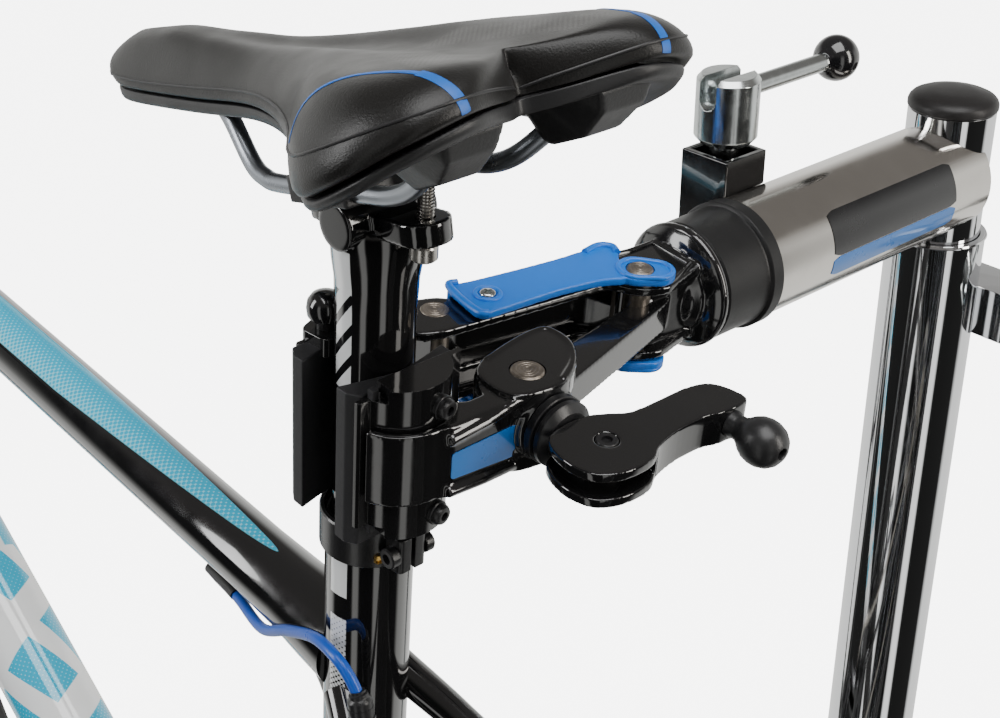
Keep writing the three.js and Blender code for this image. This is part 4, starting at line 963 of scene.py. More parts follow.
def build_stand():
    square = []
    for cx, cy, start in (
        (PLATE_X, PLATE_FRONT, 0), (-PLATE_X, PLATE_FRONT, 90), (-PLATE_X, PLATE_BACK, 180),
        (PLATE_X, PLATE_BACK, 270),
    ):
        square += arc(cx, cy, PLATE_CORNER, start, start + 90, 10)
    piece(
        "floor_plate", slab(square, 0, 20), WORLD, "stand_base", "plate_steel", ["base_plate"],
        edge=1.5, segments=3,
    )
    bore = LOWER_R + 0.3
    socket = lathe(
        [
            (bore, 0), (71, 0), (72, 1), (72, 8), (70.5, 9.5), (40, 12), (36, 14), (34, 20),
            (32.5, 61), (31, 65), (bore, 65), (bore, 0),
        ], 96
    )
    piece(
        "post_foot", shifted(socket, 0, 0, FOOT_Z), WORLD, "stand_base", "chrome_steel",
        ["post_socket"], sharp=25,
    )
    for i in range(4):
        a = math.radians(45 + 90 * i)
        at = Matrix.Translation((56 * math.cos(a), 56 * math.sin(a), 29))
        head = merge(
            moved(lathe([(0, 0), (12, 0), (12, 1.6), (10.5, 2), (0, 2)], 40), at),
            moved(lathe([(0, 2), (9, 2), (9.2, 7.6), (8, 8.8), (0, 9)], 6), at),
        )
        piece("foot_bolt_%d" % (i + 1), head, WORLD, "stand_base", "zinc_steel", edge=0.3)
    piece(
        "post_outer", pipe((0, 0, FOOT_Z), (0, 0, LOWER_TOP), LOWER_R, UPPER_R + 0.6, 128), WORLD,
        "stand_base", "chrome_steel", ["lower_post"],
    )
    rim = lathe(
        [
            (UPPER_R + 0.5, 0), (LOWER_R + 0.5, 0), (LOWER_R + 0.9, 0.7), (LOWER_R + 0.5, 1.5),
            (UPPER_R + 0.5, 1.5), (UPPER_R + 0.5, 0),
        ],
        128,
    )
    piece(
        "post_outer_rim", shifted(rim, 0, 0, LOWER_TOP - 1.6), WORLD, "stand_base", "chrome_steel"
    )
    piece(
        "post_inner",
        pipe((0, 0, POST_TOP - OVERLAP), (0, 0, POST_TOP), UPPER_R, UPPER_R - TUBE_WALL, 128),
        WORLD, "mast", "chrome_steel", ["upper_post"],
    )
    cap = [
        (0, -14), (UPPER_R - 3.4, -14), (UPPER_R - 3.4, 0.3), (UPPER_R + 0.1, 0.3),
        (UPPER_R + 0.6, 0.9), (UPPER_R + 0.6, 3), (UPPER_R, 4.6), (UPPER_R - 1.4, 6.1),
        (UPPER_R - 4, 7.3), (UPPER_R - 9, 8.3), (10, 8.9), (0, 9.1),
    ]
    piece(
        "post_dome", turned(cap, (0, 0, POST_TOP), (0, 0, POST_TOP + 100), 96), WORLD, "mast",
        "cap_black", ["post_cap"],
    )
    tube_shape = pipe((0, 0, 0), (0, ARM_END, 0), ARM_R, ARM_R - TUBE_WALL, 128)
    arm = new_object("arm_pipe", tube_shape, ARM)
    cut(
        arm,
        turned(
            [(0, 0), (UPPER_R + 0.3, 0), (UPPER_R + 0.3, 120), (0, 120)], (0, 0, -60), (0, 0, 60),
            96,
        ),
    )
    finish(arm, "mast", "arm_nickel", ["arm_tube"])
    softened("height_lug", "chrome_steel", edge=1.2)
    softened("lock_lug", "casting_black", edge=1.4)
    length = SLEEVE_END - ARM_END
    bush = [
        (SHAFT_R + 0.3, -36), (ARM_R - 3.4, -36), (ARM_R - 3.4, 0.3), (ARM_R + 0.9, 0.3),
        (ARM_R + 1.5, 0.9), (ARM_R + 1.5, 7.2), (ARM_R + 0.9, 8), (ARM_R - 0.1, 8.4),
        (ARM_R - 0.1, 9), (SHAFT_R + 7.2, 9.5), (SHAFT_R + 7.2, length - 0.7),
        (SHAFT_R + 6.5, length), (SHAFT_R + 0.3, length), (SHAFT_R + 0.3, -36),
    ]
    piece(
        "arm_sleeve", turned(bush, (0, ARM_END, 0), (0, 500, 0), 128), ARM, "mast", "bushing_black",
        ["arm_bushing"],
    )
    label_skin("arm_label", (31, 127, 0, 44), ARM_R, ARM, "mast", "label_black")
    label_skin("arm_label_stripe", (31, 127, -21, -1), ARM_R, ARM, "mast", "label_blue")
    build_lock(
        "lock", LOCK, "lock_screw", "lock_handle", "lock_barrel", ["lock_lever", "lock_ball"],
        "lock_knob",
    )
    build_lock(
        "height", HEIGHT, "height_screw", "height_handle", "height_barrel", ["height_lever"],
        "height_knob",
    )


build_stand()

# ---- clamp head: origin on the arm axis, z along the seatpost ------------------------------

CAM_PIN = (-7, -137.5)
LINK_PIN = (24, -50)
JAW_PIN = (-32, -50)
CASTING_TOP = 18
HOLDER_AXIS = (-17, 2)
FAR_AXIS = (17, 2)
PAD_LOW, PAD_HIGH = -40, 28.5
LEVER_SCREW = (14.5, -70)
CRANK_BOLT = (-74, -53)
HOLE_HALF = 60
STEM_AT = (20, 8)


def curved(points, steps=6):
    """A closed outline through points as one smooth curve."""
    return [(p.x, p.y) for p in spline([(x, y, 0) for x, y in points], steps, closed=True)]


def upright_disc(pin, radius, z0, z1, sides=48):
    return rod((pin[0], pin[1], z0), (pin[0], pin[1], z1), radius, sides)


def build_casting():
    cover = rounded(
        [
            (-14, -171), (-20, -143), (-14, -131), (-2, -125), (2, -91), (6.5, -58), (9, -40),
            (14, -31), (34, -31), (36.5, -46), (32, -58), (26.5, -62), (15.5, -125), (13, -150),
            (14, -171),
        ],
        5,
    )
    wall = rounded(
        [
            (14, -171), (13, -150), (15.5, -125), (26.5, -62), (32, -58), (36.5, -46), (36.5, 6),
            (31, 14), (24.5, 6), (24.5, -26), (18, -31), (21.5, -60), (11.5, -122), (2, -138),
            (-12, -138), (-14, -171),
        ],
        3,
    )
    inside = CASTING_TOP - 4
    flange = turned(
        [
            (0, 0), (27, 0), (28.4, 0.6), (29, 2), (29, 3.6), (28.3, 4.6), (25, 6.2), (21, 7.4),
            (0, 7.4),
        ],
        (0, -175.4, 0), (0, 0, 0), 96,
    )
    shaft = rod((0, -305, 0), (0, -171, 0), SHAFT_R, 96)
    neck = turned(
        [(0, 0), (21, 0), (20.4, 3), (17, 9), (12, 14), (0, 16)], (0, -172, 0), (0, 0, 0), 64
    )
    strut = slab(stadium((-11, -146), 5.5, JAW_PIN, 10), -7.5, 7.5)
    shape = merge(
        slab(wall, -inside - 1, inside + 1), slab(cover, inside, CASTING_TOP),
        slab(cover, -CASTING_TOP, -inside), flange, strut, neck,
    )
    holes = [
        upright_disc(CAM_PIN, 6.3, -HOLE_HALF, HOLE_HALF),
        upright_disc(LINK_PIN, 6.8, -HOLE_HALF, HOLE_HALF),
        upright_disc(JAW_PIN, 7.3, -HOLE_HALF, HOLE_HALF),
    ]
    far_seat = upright_disc(FAR_AXIS, 13.3, -HOLE_HALF, HOLE_HALF, 64)
    casting(
        "clamp_casting", shape, CLAMP, "clamp_head", "casting_black", ["clamp_body"], voxel=0.8,
        rounds=5, cuts=[*holes, far_seat],
    )
    piece("clamp_shaft", shaft, CLAMP, "clamp_head", "casting_black")
    rim = tube(
        spline([(-11, -165, 18.2), (-17, -146, 18.2), (-13, -134, 18.2), (-4, -128, 18.2)], 6), 1.3,
        12,
    )
    rim2 = tube(spline([(12, -166, 18.2), (12.6, -152, 18.2), (14, -144, 18.2)], 6), 1.3, 12)
    bridge = tube([(-11, -165, 18.2), (12, -166, 18.2)], 1.3, 12)
    piece("clamp_pocket_rim", merge(rim, rim2, bridge), CLAMP, "clamp_head", "casting_black")
    under_rib = tube([(2, -125, 15), (6, -92, 15), (10, -60, 15), (14, -36, 15)], 2.2, 16)
    piece(
        "clamp_rib", merge(under_rib, shifted(under_rib, 0, 0, -30)), CLAMP, "clamp_head",
        "casting_black",
    )


def build_pins():
    for name, pin, radius, half, node in (
        ("cam_rivet", CAM_PIN, 6, 23.5, "cam_pin"),
        ("link_rivet", LINK_PIN, 6.5, 18.3, "link_pin"),
        ("jaw_rivet", JAW_PIN, 7, 18.4, "jaw_pin"),
    ):
        profile = [
            (0, 0), (radius - 0.8, 0), (radius, 0.8), (radius, 2 * half - 0.8),
            (radius - 0.8, 2 * half), (0, 2 * half),
        ]
        shape = shifted(lathe(profile, 64), pin[0], pin[1], -half)
        rings = [
            shifted(
                lathe([(r - 0.25, 0), (r, 0.12), (r + 0.25, 0), (r - 0.25, 0)], 48), pin[0], pin[1],
                half,
            )
            for r in (1.6, 3.2, 4.6)
        ]
        piece(name, merge(shape, *rings), CLAMP, "clamp_head", "pin_steel", [node])


def build_lever():
    leg = rounded(
        [
            (4, -57), (30.5, -61), (27.5, -72), (23.5, -95), (20.5, -115), (19.5, -128),
            (18.5, -139), (14, -142.5), (8, -140), (2, -134), (-10.5, -129), (-4, -118), (0.5, -98),
            (2.5, -76),
        ],
        6,
    )
    eye = stadium((-6, -136), 9.2, (-12, -142.5), 8.2)
    back = rounded(
        [
            (30.5, -61), (27.5, -72), (23.5, -95), (20.5, -115), (18.3, -113), (21.6, -94),
            (28, -61.5),
        ],
        1.5,
    )
    legs = []
    for z0, z1 in ((19, 23), (-23, -19)):
        legs += [slab(leg, z0, z1), slab(eye, z0, z1)]
    shape = merge(slab(back, -23, 23), *legs)
    hole = upright_disc(CAM_PIN, 6.3, -HOLE_HALF, HOLE_HALF)
    screw_hole = upright_disc(LEVER_SCREW, 3.2, 21, 40)
    casting(
        "cam_lever_legs", shape, CLAMP, "cam_lever", "lever_blue", ["cam_handle"], voxel=0.7,
        rounds=4, cuts=[hole, screw_hole],
    )
    for sign in (1, -1):
        tip = "upper" if sign > 0 else "lower"
        z = sign * 23
        end_lip = tube(
            spline(
                [(2.5, -60, z), (5.5, -57.6, z), (18, -58.6, z), (29.5, -61.8, z), (29, -66, z)], 6
            ),
            1.7, 14,
        )
        far_lip = tube(
            spline([(17.2, -128, z), (18, -137, z), (14, -141.4, z), (9, -139.6, z)], 6), 1.7, 14
        )
        eye_path = [(x, y, z) for x, y in stadium((-6, -136.3), 7.9, (-12, -142.2), 7.1)]
        boss = tube(
            [(x, y, z) for x, y in arc(*LEVER_SCREW, 5.2, 0, 360, 32)[:-1]], 1.2, 12, closed=True
        )
        eye_ring = tube(eye_path, 1.25, 12, closed=True)
        piece(
            "cam_lever_rims_" + tip, merge(end_lip, far_lip, eye_ring, boss), CLAMP, "cam_lever",
            "lever_blue",
        )
    profile = [(0, 20.5), (3.6, 20.5), (3.6, 23.5), (3.3, 24.1), (2.6, 24.5), (0, 24.7)]
    screw = shifted(lathe(profile, 40), *LEVER_SCREW, 0)
    obj = new_object("cam_lever_screw", screw, CLAMP)
    cut(obj, box(12.4, 16.6, -70.5, -69.5, 23.4, 30), box(14, 15, -72.1, -67.9, 23.4, 30))
    finish(obj, "cam_lever", "zinc_steel")


def build_jaw():
    band = arc(-17, 2, 24, 112, 180, 12) + [
        (-42.5, -4), (-42.5, -37), (-46, -44), (-46, -56), (-38, -68), (-14, -60), (-14, -41),
        (-20, -33), (-31.8, -27), (-31.8, -20),
    ] + arc(-17, 2, 20.8, 234, 112, 16)
    fork = curved(
        [
            (-46, -58), (-38, -71), (-27, -79), (-16, -80), (-10.5, -76), (-11, -62), (-15, -42),
            (-22, -33), (-34, -31), (-42.5, -34), (-46, -44),
        ],
        5,
    )
    boss = rod((-47, JAW_PIN[1], 0), (-38, JAW_PIN[1], 0), 15, 64, 1.5)
    core = rounded(
        [
            (-46, -58), (-43.4, -60), (-43.2, -50), (-40, -41.5), (-31, -38.4), (-21, -38),
            (-20, -33), (-31.8, -27), (-31.8, -20), (-42.5, -12), (-42.5, -37), (-46, -44),
        ],
        1,
    )
    ring = arc(-17, 2, 24, 112, 180, 12) + [
        (-42.5, -4), (-42.5, -30), (-31.8, -30), (-31.8, -20)
    ] + arc(-17, 2, 20.8, 234, 112, 16)
    layers = [
        slab(band, 7.8, 16), slab(band, -16, -7.8), slab(core, -9, 9), slab(ring, -9, 9),
        slab(fork, 7.8, CASTING_TOP), slab(fork, -CASTING_TOP, -7.8),
    ]
    rim = [
        tube(
            spline(
                [
                    (x, y, z)
                    for x, y in [
                        (-44.5, -57), (-37, -69.5), (-27, -77.3), (-16.4, -78.3), (-12.3, -75),
                        (-12.6, -62), (-16.5, -42.5),
                    ]
                ],
                6,
            ),
            1.2, 12,
        )
        for z in (CASTING_TOP - 0.3, -CASTING_TOP + 0.3)
    ]
    web = merge(
        tube([(-42, -37, 15), (-43, -20, 12.5), (-42.6, -2, 10.5)], 2.4, 16),
        tube([(-42, -37, -15), (-43, -20, -14), (-42.6, -2, -13)], 2.4, 16),
    )
    shape = merge(*layers, boss, web, *rim)
    hole = upright_disc(JAW_PIN, 7.3, -HOLE_HALF, HOLE_HALF)
    obj = new_object("jaw_casting", shape, CLAMP)
    melt(obj, 0.7, 5)
    cut(obj, hole, dense=True)
    finish(obj, "near_jaw", "casting_black", ["jaw_arm"], sharp=50)
    plate_outline = rounded([(-36, -7.4), (-3.5, -4.6), (-3.5, 7.0), (-36, 7.4)], 1.6)
    label = loft([[(-42.6 - d, y, z - 3) for y, z in plate_outline] for d in (0, 0.35)])
    piece("jaw_label", label, CLAMP, "near_jaw", "label_blue")


def holder_shape(axis, radius, side, y0, y1, z0, z1):
    face = side * 21.4
    back = face + side * 2.6
    reach = math.degrees(math.acos(abs(back - axis[0]) / radius))
    middle = 180 if side < 0 else 0
    swell = arc(axis[0], axis[1], radius, middle - reach, middle + reach, 28)
    if side < 0:
        swell.reverse()
    outline = [
        (face, y0), (back - side, y0), (back, y0 + 1), *swell, (back, y1 - 1), (back - side, y1),
        (face, y1),
    ]
    return slab(outline, z0, z1)


def screw_head(at, towards, radius=4.6, tall=3.6, key=2.1):
    """A button head with a hexagon socket."""
    profile = [
        (0, 0), (radius, 0), (radius, tall * 0.55), (radius - 0.7, tall - 0.3),
        (radius - 1.4, tall), (key, tall), (key * 0.9, tall - 1.8), (0, tall - 2.0),
    ]
    return turned(profile, at, towards, 48)


def build_jaws():
    near = new_object(
        "near_holder_body", holder_shape(HOLDER_AXIS, 20, -1, -23, 26, -34, 33), CLAMP
    )
    cut(near, box(-30, -20, 16, 30, 27.5, 40), box(-30, -20, 16, 30, -40, -29))
    bevel(near, 0.8, 3)
    finish(near, "near_pad", "casting_black", ["near_jaw_holder"])
    piece(
        "near_holder_tab_upper", box(-25, -21.6, 17.5, 20.5, 26, 31.5), CLAMP, "near_pad",
        "pad_rubber", edge=0.5,
    )
    piece(
        "near_holder_tab_lower", box(-25, -21.6, 17.5, 20.5, -33, -28), CLAMP, "near_pad",
        "pad_rubber", edge=0.5,
    )
    for name, z in (("upper", 22.4), ("lower", -26)):
        head = merge(
            turned(
                [(0, -3), (3.4, -3), (3.4, 0), (5, 0), (5, 1.4), (4.7, 1.7), (0, 1.7)],
                (-36.4, -2.5, z), (-60, -6, z), 48,
            ),
            screw_head((-37.6, -2.7, z), (-60, -6, z), 4.3, 3.4, 1.9),
        )
        piece("near_holder_screw_" + name, head, CLAMP, "near_pad", "washer_black", sharp=30)
    far = new_object("far_holder_body", holder_shape(FAR_AXIS, 13, 1, -19, 20, -34, 28), CLAMP)
    bevel(far, 0.8, 3)
    finish(far, "clamp_head", "casting_black", ["far_jaw_holder"])
    for side, name, body in ((-1, "near", "near_pad"), (1, "far", "clamp_head")):
        outline = [
            (10.3, 26), (16.3, 26), (21, 23), (21, -21), (16.3, -24), (10.3, -24), (12.8, -14),
            (14.6, -6), (15.6, 1), (14.6, 8), (12.6, 17),
        ]
        shape = slab([(side * x, y) for x, y in outline], PAD_LOW, PAD_HIGH)
        pad = new_object(name + "_pad_rubber", shape, CLAMP)
        bevel(pad, 0.7, 3, 25)
        finish(pad, body, "pad_rubber", [name + "_jaw_pad"])
    spring = [
        (
            -10 + 17 * t, -30 - 3 * t + 3.2 * math.cos(18 * math.pi * t),
            2 + 3.2 * math.sin(18 * math.pi * t),
        )
        for t in (i / 200 for i in range(201))
    ]
    piece("return_spring", tube(spring, 0.55, 10), CLAMP, "clamp_head", "washer_black")
    ear = new_object(
        "far_holder_ear",
        slab(rounded([(11, -10), (11, 15), (24, 17), (28, 8), (28, -9), (22, -13)], 3), 25, 33),
        CLAMP,
    )
    cut(ear, rod((0, 0, 20), (0, 0, 40), 15.9, 64))
    bevel(ear, 1.2, 3)
    finish(ear, "clamp_head", "casting_black")
    piece(
        "far_holder_stem", rod((*STEM_AT, 32), (*STEM_AT, 38), 4.2, 32), CLAMP, "clamp_head",
        "washer_black",
    )
    cap_profile = [(0, 0), (6.4, 0), (7.2, 1), (7.6, 4), (7.2, 7), (5.6, 9.4), (3, 10.8), (0, 11.2)]
    piece(
        "far_holder_cap", shifted(lathe(cap_profile, 48), *STEM_AT, 37), CLAMP, "clamp_head",
        "ball_black",
    )


def build_crank():
    start = Vector((-47.3, JAW_PIN[1], 0))
    washers = [
        (0, 0), (14.3, 0), (14.5, 0.4), (14.5, 3), (14.1, 3.4), (12.6, 3.5), (12.6, 4.5),
        (13.7, 4.6), (14, 5), (14, 7), (13.2, 7.8), (10.5, 9.4), (0, 9.4),
    ]
    tongue = slab(stadium((-74, -50), 9, (-60, -50), 9), -3.2, 3.2)
    piece(
        "thrust_washers", turned(washers, start, (-100, JAW_PIN[1], 0), 96), CLAMP, "crank_screw",
        "washer_black", ["adjuster_screw"], sharp=30,
    )
    piece("crank_tongue", tongue, CLAMP, "crank_screw", "washer_black", edge=0.5)
    outline = curved(
        [
            (-57.5, -43), (-60.5, -35.5), (-69, -31.5), (-79, -30.8), (-88, -34.5), (-93, -44),
            (-93.2, -58), (-88.5, -67), (-85.8, -80), (-85.8, -95), (-88, -103), (-88, -117),
            (-80, -118.4), (-70.5, -114), (-67, -103), (-66.6, -88), (-66, -74), (-61, -65),
            (-57.5, -57),
        ],
        5,
    )
    fork = box(-100, -52, -64, -20, -3.7, 3.7)
    crank = new_object("crank_handle", slab(outline, -7.75, 7.75), CLAMP)
    cut(
        crank, fork, upright_disc(CRANK_BOLT, 4.9, 6.3, 12),
        upright_disc(CRANK_BOLT, 4.9, -12, -6.3),
    )
    melt(crank, 0.55, 9)
    finish(crank, "crank_screw", "casting_black", ["crank_arm"], sharp=60)
    bolt = [(0, 0), (4.4, 0), (4.5, 0.3), (4.5, 1.2), (4.1, 1.6), (2.3, 1.6), (2.1, 0.4), (0, 0.2)]
    for name, z, end in (("upper", 6.2, 20), ("lower", -6.2, -20)):
        piece(
            "crank_bolt_" + name, turned(bolt, (*CRANK_BOLT, z), (*CRANK_BOLT, end), 48), CLAMP,
            "crank_screw", "washer_black", sharp=30,
        )
    knob = [
        (0, 0), (5.5, 0), (5.7, 0.6), (5.1, 3), (5.1, 5), (6.2, 7), (8, 9.3), (9.4, 12), (10, 15),
        (9.9, 18), (8.8, 21.4), (6.8, 24), (4.4, 25.6), (2.6, 26), (2.2, 25.4), (2.1, 22.5),
        (0, 22.3),
    ]
    piece(
        "crank_grip_knob", turned(knob, (-88.3, -109, 0), (-200, -109, 0), 64), CLAMP, "crank_grip",
        "grip_smooth", ["crank_knob"], sharp=50,
    )


build_casting()
build_pins()
build_lever()
build_jaw()
build_jaws()
build_crank()

# ---- seatpost and saddle --------------------------------------------------------------------

SEATPOST_R = 15.45
EAR_X = 25.7
EAR_TILT = 12.4
HEAD_Z = 86.5
RAIL_HEIGHT = 100 / (
    math.cos(
        math.radians(SEATPOST_LEAN)
    ) - math.sin(math.radians(SEATPOST_LEAN)) * math.tan(math.radians(SADDLE_PITCH))
)
RAIL_TILT = SEATPOST_LEAN + SADDLE_PITCH
THREAD_PITCH = 1.25


def build_seatpost():
    bore = SEATPOST_R - 2.5
    shaft = [
        (0, -219), (bore, -219), (SEATPOST_R, -220), (SEATPOST_R, 52), (SEATPOST_R + 0.3, 56),
        (15.9, 62), (17, 70), (17.6, 78), (17, 84), (14, 88), (6, 90), (0, 90),
    ]
    piece(
        "seatpost_shaft", lathe(shaft, 96), CLAMP, "clamp_head", "seatpost_black", ["seatpost"],
        sharp=50,
    )
    ears = slab(stadium((-EAR_X, 0), 10.2, (EAR_X, 0), 9.6, 16), -4.6, 4.2)
    tilt = Matrix.Translation((0, 0, HEAD_Z)) @ Matrix.Rotation(math.radians(EAR_TILT), 4, "Y")
    saddle_seat = rod((0, -20, HEAD_Z + 1), (0, 20, HEAD_Z + 1), 9.5, 48)
    head = new_object(
        "seatpost_head",
        merge(
            moved(ears, tilt), saddle_seat,
            turned(
                [(0, 0), (15.5, 0), (16.5, 8), (17, 14), (15, 19), (0, 20)], (0, 0, 66),
                (0, 0, 200), 64,
            ),
        ),
        CLAMP,
    )
    melt(head, 0.6, 8)
    cut(head, *[rod((s * EAR_X, 0, 60), (s * EAR_X, 0, 110), 3.7, 32) for s in (-1, 1)], dense=True)
    finish(head, "clamp_head", "frame_gloss", sharp=60)
    cradle = merge(
        box(-17, 17, -28, 28, -4.4, 5.6),
        box(-32, 32, -9, 9, 4.6, 9),
    )
    turn = Matrix.Translation((0, 0, RAIL_HEIGHT)) @ Matrix.Rotation(
        math.radians(RAIL_TILT), 4, "Y"
    )
    clamp = new_object("rail_cradle", moved(cradle, turn), CLAMP)
    melt(clamp, 0.6, 5)
    finish(clamp, "clamp_head", "shell_black", ["rail_clamp"], sharp=60)
    for s, name in ((-1, "rear"), (1, "front")):
        x = s * EAR_X
        ear = HEAD_Z - x * math.tan(math.radians(EAR_TILT))
        top = RAIL_HEIGHT + 7 - x * math.tan(math.radians(RAIL_TILT))
        turns = int((top + 2 - (ear - 9)) / THREAD_PITCH)
        thread = [
            shifted(
                lathe([(2.4, 0), (3.05, 0.5), (2.4, 1.05), (2.4, 0)], 32), x, 0,
                ear - 9 + THREAD_PITCH * i,
            )
            for i in range(turns)
        ]
        core = rod((x, 0, ear - 10), (x, 0, top + 2), 2.6, 32)
        nut = shifted(
            lathe([(0, 0), (4.4, 0), (5.2, 0.8), (5.2, 5.6), (4.8, 6.2), (0, 6.2)], 48), x, 0,
            ear - 12,
        )
        piece(
            "saddle_bolt_" + name, merge(core, nut, *thread), CLAMP, "clamp_head", "clamp_zinc",
            sharp=30,
        )
        barrel = rod((x, -9.6, top), (x, 9.6, top), 4.6, 40)
        piece("saddle_barrel_nut_" + name, barrel, CLAMP, "clamp_head", "washer_black")


# The cover's edge from the tail's middle round the left side to the nose: x, y, z, the spine's x.
COVER_EDGE = [
    (-90, 0, 31, -88), (-103, 14, 33, -86), (-113, 30, 35, -84), (
        -116.5, 42, 35, -80
    ), (-113.5, 56, 32, -74),
    (-105, 65, 28, -68), (-94, 71, 23, -62), (-80, 73, 18, -55), (-66, 71, 14.5, -47), (
        -50, 62.5, 14.5, -38
    ),
    (-35, 51, 19, -29), (-18, 41, 24, -18), (2, 32.5, 28, 0), (30, 25, 30, 30), (70, 21.5, 30, 70),
    (110, 19, 31, 108), (135, 16.5, 32, 128), (149, 11, 33, 138), (154.5, 0, 34, 144),
]
# Along the saddle: x, height of the channel, then height, |y| and outward fall of the ridges.
COVER_TOP = [
    (-120, 44, 47, 44, 5), (-101, 44.5, 48, 42, 5), (
        -80, 45, 48.4, 38, 5.5
    ), (-50, 44.6, 48.4, 30, 6),
    (0, 44.4, 48.4, 18, 7), (
        40, 45.6, 48.8, 13, 8
    ), (75, 49.6, 51.6, 10, 8), (105, 53.4, 54.6, 8, 8),
    (135, 52.6, 52.9, 8, 8), (150, 48.5, 48.6, 8, 8), (163, 42, 42, 6, 8),
]
ROLL = 24.0


def between(table, x):
    """The row of a table at x, smoothly between its rows."""
    if x <= table[0][0]:
        return table[0][1:]
    for a, b in zip(table, table[1:]):
        if x <= b[0]:
            t = (x - a[0]) / (b[0] - a[0])
            return tuple(
                p + (q - p) * (t * t * (3 - 2 * t) * 0.35 + t * 0.65) for p, q in zip(a[1:], b[1:])
            )
    return table[-1][1:]


def cover_height(x, y):
    centre, ridge, width, fall = between(COVER_TOP, x)
    a = abs(y) / width
    if a < 1:
        return centre + (ridge - centre) * (0.5 - 0.5 * math.cos(math.pi * a))
    return ridge - fall * (a - 1) ** 2 / (1 + 0.25 * (a - 1))


def edge_ring(steps=5):
    """Points round the whole edge, with the spine point that each one faces."""
    half = spline([(x, y, z) for x, y, z, _ in COVER_EDGE], steps)
    spine = spline([(s, 0, 0) for _, _, _, s in COVER_EDGE], steps)
    left = list(zip(half, spine))
    left[0][0].y = left[-1][0].y = 0
    right = [(Vector((p.x, -p.y, p.z)), s) for p, s in reversed(left[1:-1])]
    return left + right


def cover_point(edge, spine, share):
    """A point of the cover's skin, share of the way from its edge to the spine."""
    x = edge.x + (spine.x - edge.x) * share
    y = edge.y * (1 - share)
    far = math.hypot(edge.x - spine.x, edge.y) * share
    lift = math.sqrt(max(0.0, 1 - (1 - min(1.0, far / ROLL)) ** 2))
    nose = max(0.0, (edge.x - 120) / 35)
    out = 8.5 * nose * math.sin(math.pi * min(1.0, lift)) * (1 if edge.x > 120 else 0)
    return Vector((x + out, y, edge.z + (cover_height(x, y) - edge.z) * lift))


def zipped(rings):
    """A skin over rings that mirror left to right, its ends closed by quads across the middle."""
    points, faces = loft(rings, caps=False)
    size = len(rings[0])
    half = size // 2
    for first in (0, (len(rings) - 1) * size):
        faces.append((first, first + 1, first + size - 1))
        faces += [
            (first + i, first + i + 1, first + size - i - 1, first + size - i)
            for i in range(1, half - 1)
        ]
        faces.append((first + half - 1, first + half, first + half + 1))
    return points, faces


def cover_shape():
    ring = edge_ring()
    shares = [0, 0.012, 0.03, 0.06, 0.1, 0.15, 0.21, 0.28, 0.36, 0.46, 0.57, 0.7, 0.84, 0.94]
    rows = [[cover_point(e, s, k) for e, s in ring] for k in shares]
    under = []
    for inset, drop in ((0.05, 2.6), (0.12, 2.2), (0.35, 0.0), (0.6, -2.5), (0.94, -3.5)):
        row = []
        for e, s in ring:
            x, y = e.x + (s.x - e.x) * inset, e.y * (1 - inset)
            rise = (37 - e.z) * min(1, max(0, inset - 0.12) * 1.6)
            row.append(Vector((x, y, min(e.z - drop * 0.5 + rise, cover_height(x, y) - 6))))
        under.append(row)
    return zipped([*reversed(under), *rows])


def on_skin(tree, point, lift):
    where, normal, _, _ = tree.find_nearest(point)
    return where + normal * lift, normal


def ribbon(tree, path, width, lift=0.25):
    """A thin raised strip over a skin, along points near it; width is a number or two."""
    wide = width if isinstance(width, (tuple, list)) else (width, width)
    points = spline(path, 14)
    rings = []
    for i, p in enumerate(points):
        q, normal = on_skin(tree, p, 0)
        ahead = points[min(i + 1, len(points) - 1)] - points[max(i - 1, 0)]
        side = ahead.cross(normal).normalized()
        share = i / (len(points) - 1)
        half = (wide[0] + (wide[1] - wide[0]) * share) / 2
        left, right = (on_skin(tree, q + side * half * k, 0) for k in (-1, 1))
        rings.append(
            [
                left[0] - left[1] * 0.3, left[0] + left[1] * lift * 0.6, q + normal * lift,
                right[0] + right[1] * lift * 0.6, right[0] - right[1] * 0.3,
            ]
        )
    return loft(rings)


def build_saddle():
    shape = cover_shape()
    cover = new_object("saddle_foam_cover", shape, SADDLE)
    sub = cover.modifiers.new("smooth_skin", "SUBSURF")
    sub.levels = sub.render_levels = 1
    apply_modifiers(cover)
    tree = BVHTree.FromPolygons(
        [v.co / MM for v in cover.data.vertices], [tuple(p.vertices) for p in cover.data.polygons]
    )
    finish(cover, "clamp_head", "saddle_skin", ["saddle_cover"], sharp=70, weighted=False)
    for s, name in ((1, "left"), (-1, "right")):
        rear = [
            (-116.5, s * 41.4, 35), (-113.5, s * 42.5, 41), (-108, s * 44, 46), (-101.5, s * 45, 48)
        ]
        front = [
            (-101.5, s * 45, 48), (-92, s * 47, 48), (-80, s * 51, 47), (-68, s * 57, 44),
            (-58, s * 63, 38), (-52, s * 66, 30),
        ]
        piece(
            "saddle_trim_wide_" + name, ribbon(tree, rear, 3.6), SADDLE, "clamp_head", "trim_blue"
        )
        piece(
            "saddle_trim_thin_" + name, ribbon(tree, front, (2.2, 0.7)), SADDLE, "clamp_head",
            "trim_blue",
        )
    seam_path = [cover_point(e, s, 0.03) for e, s in edge_ring(2)]
    seam = [on_skin(tree, p, 0.1)[0] for p in seam_path]
    piece("saddle_edge_seam", tube(seam, 0.55, 8, closed=True), SADDLE, "clamp_head", "shell_black")
    build_shell()


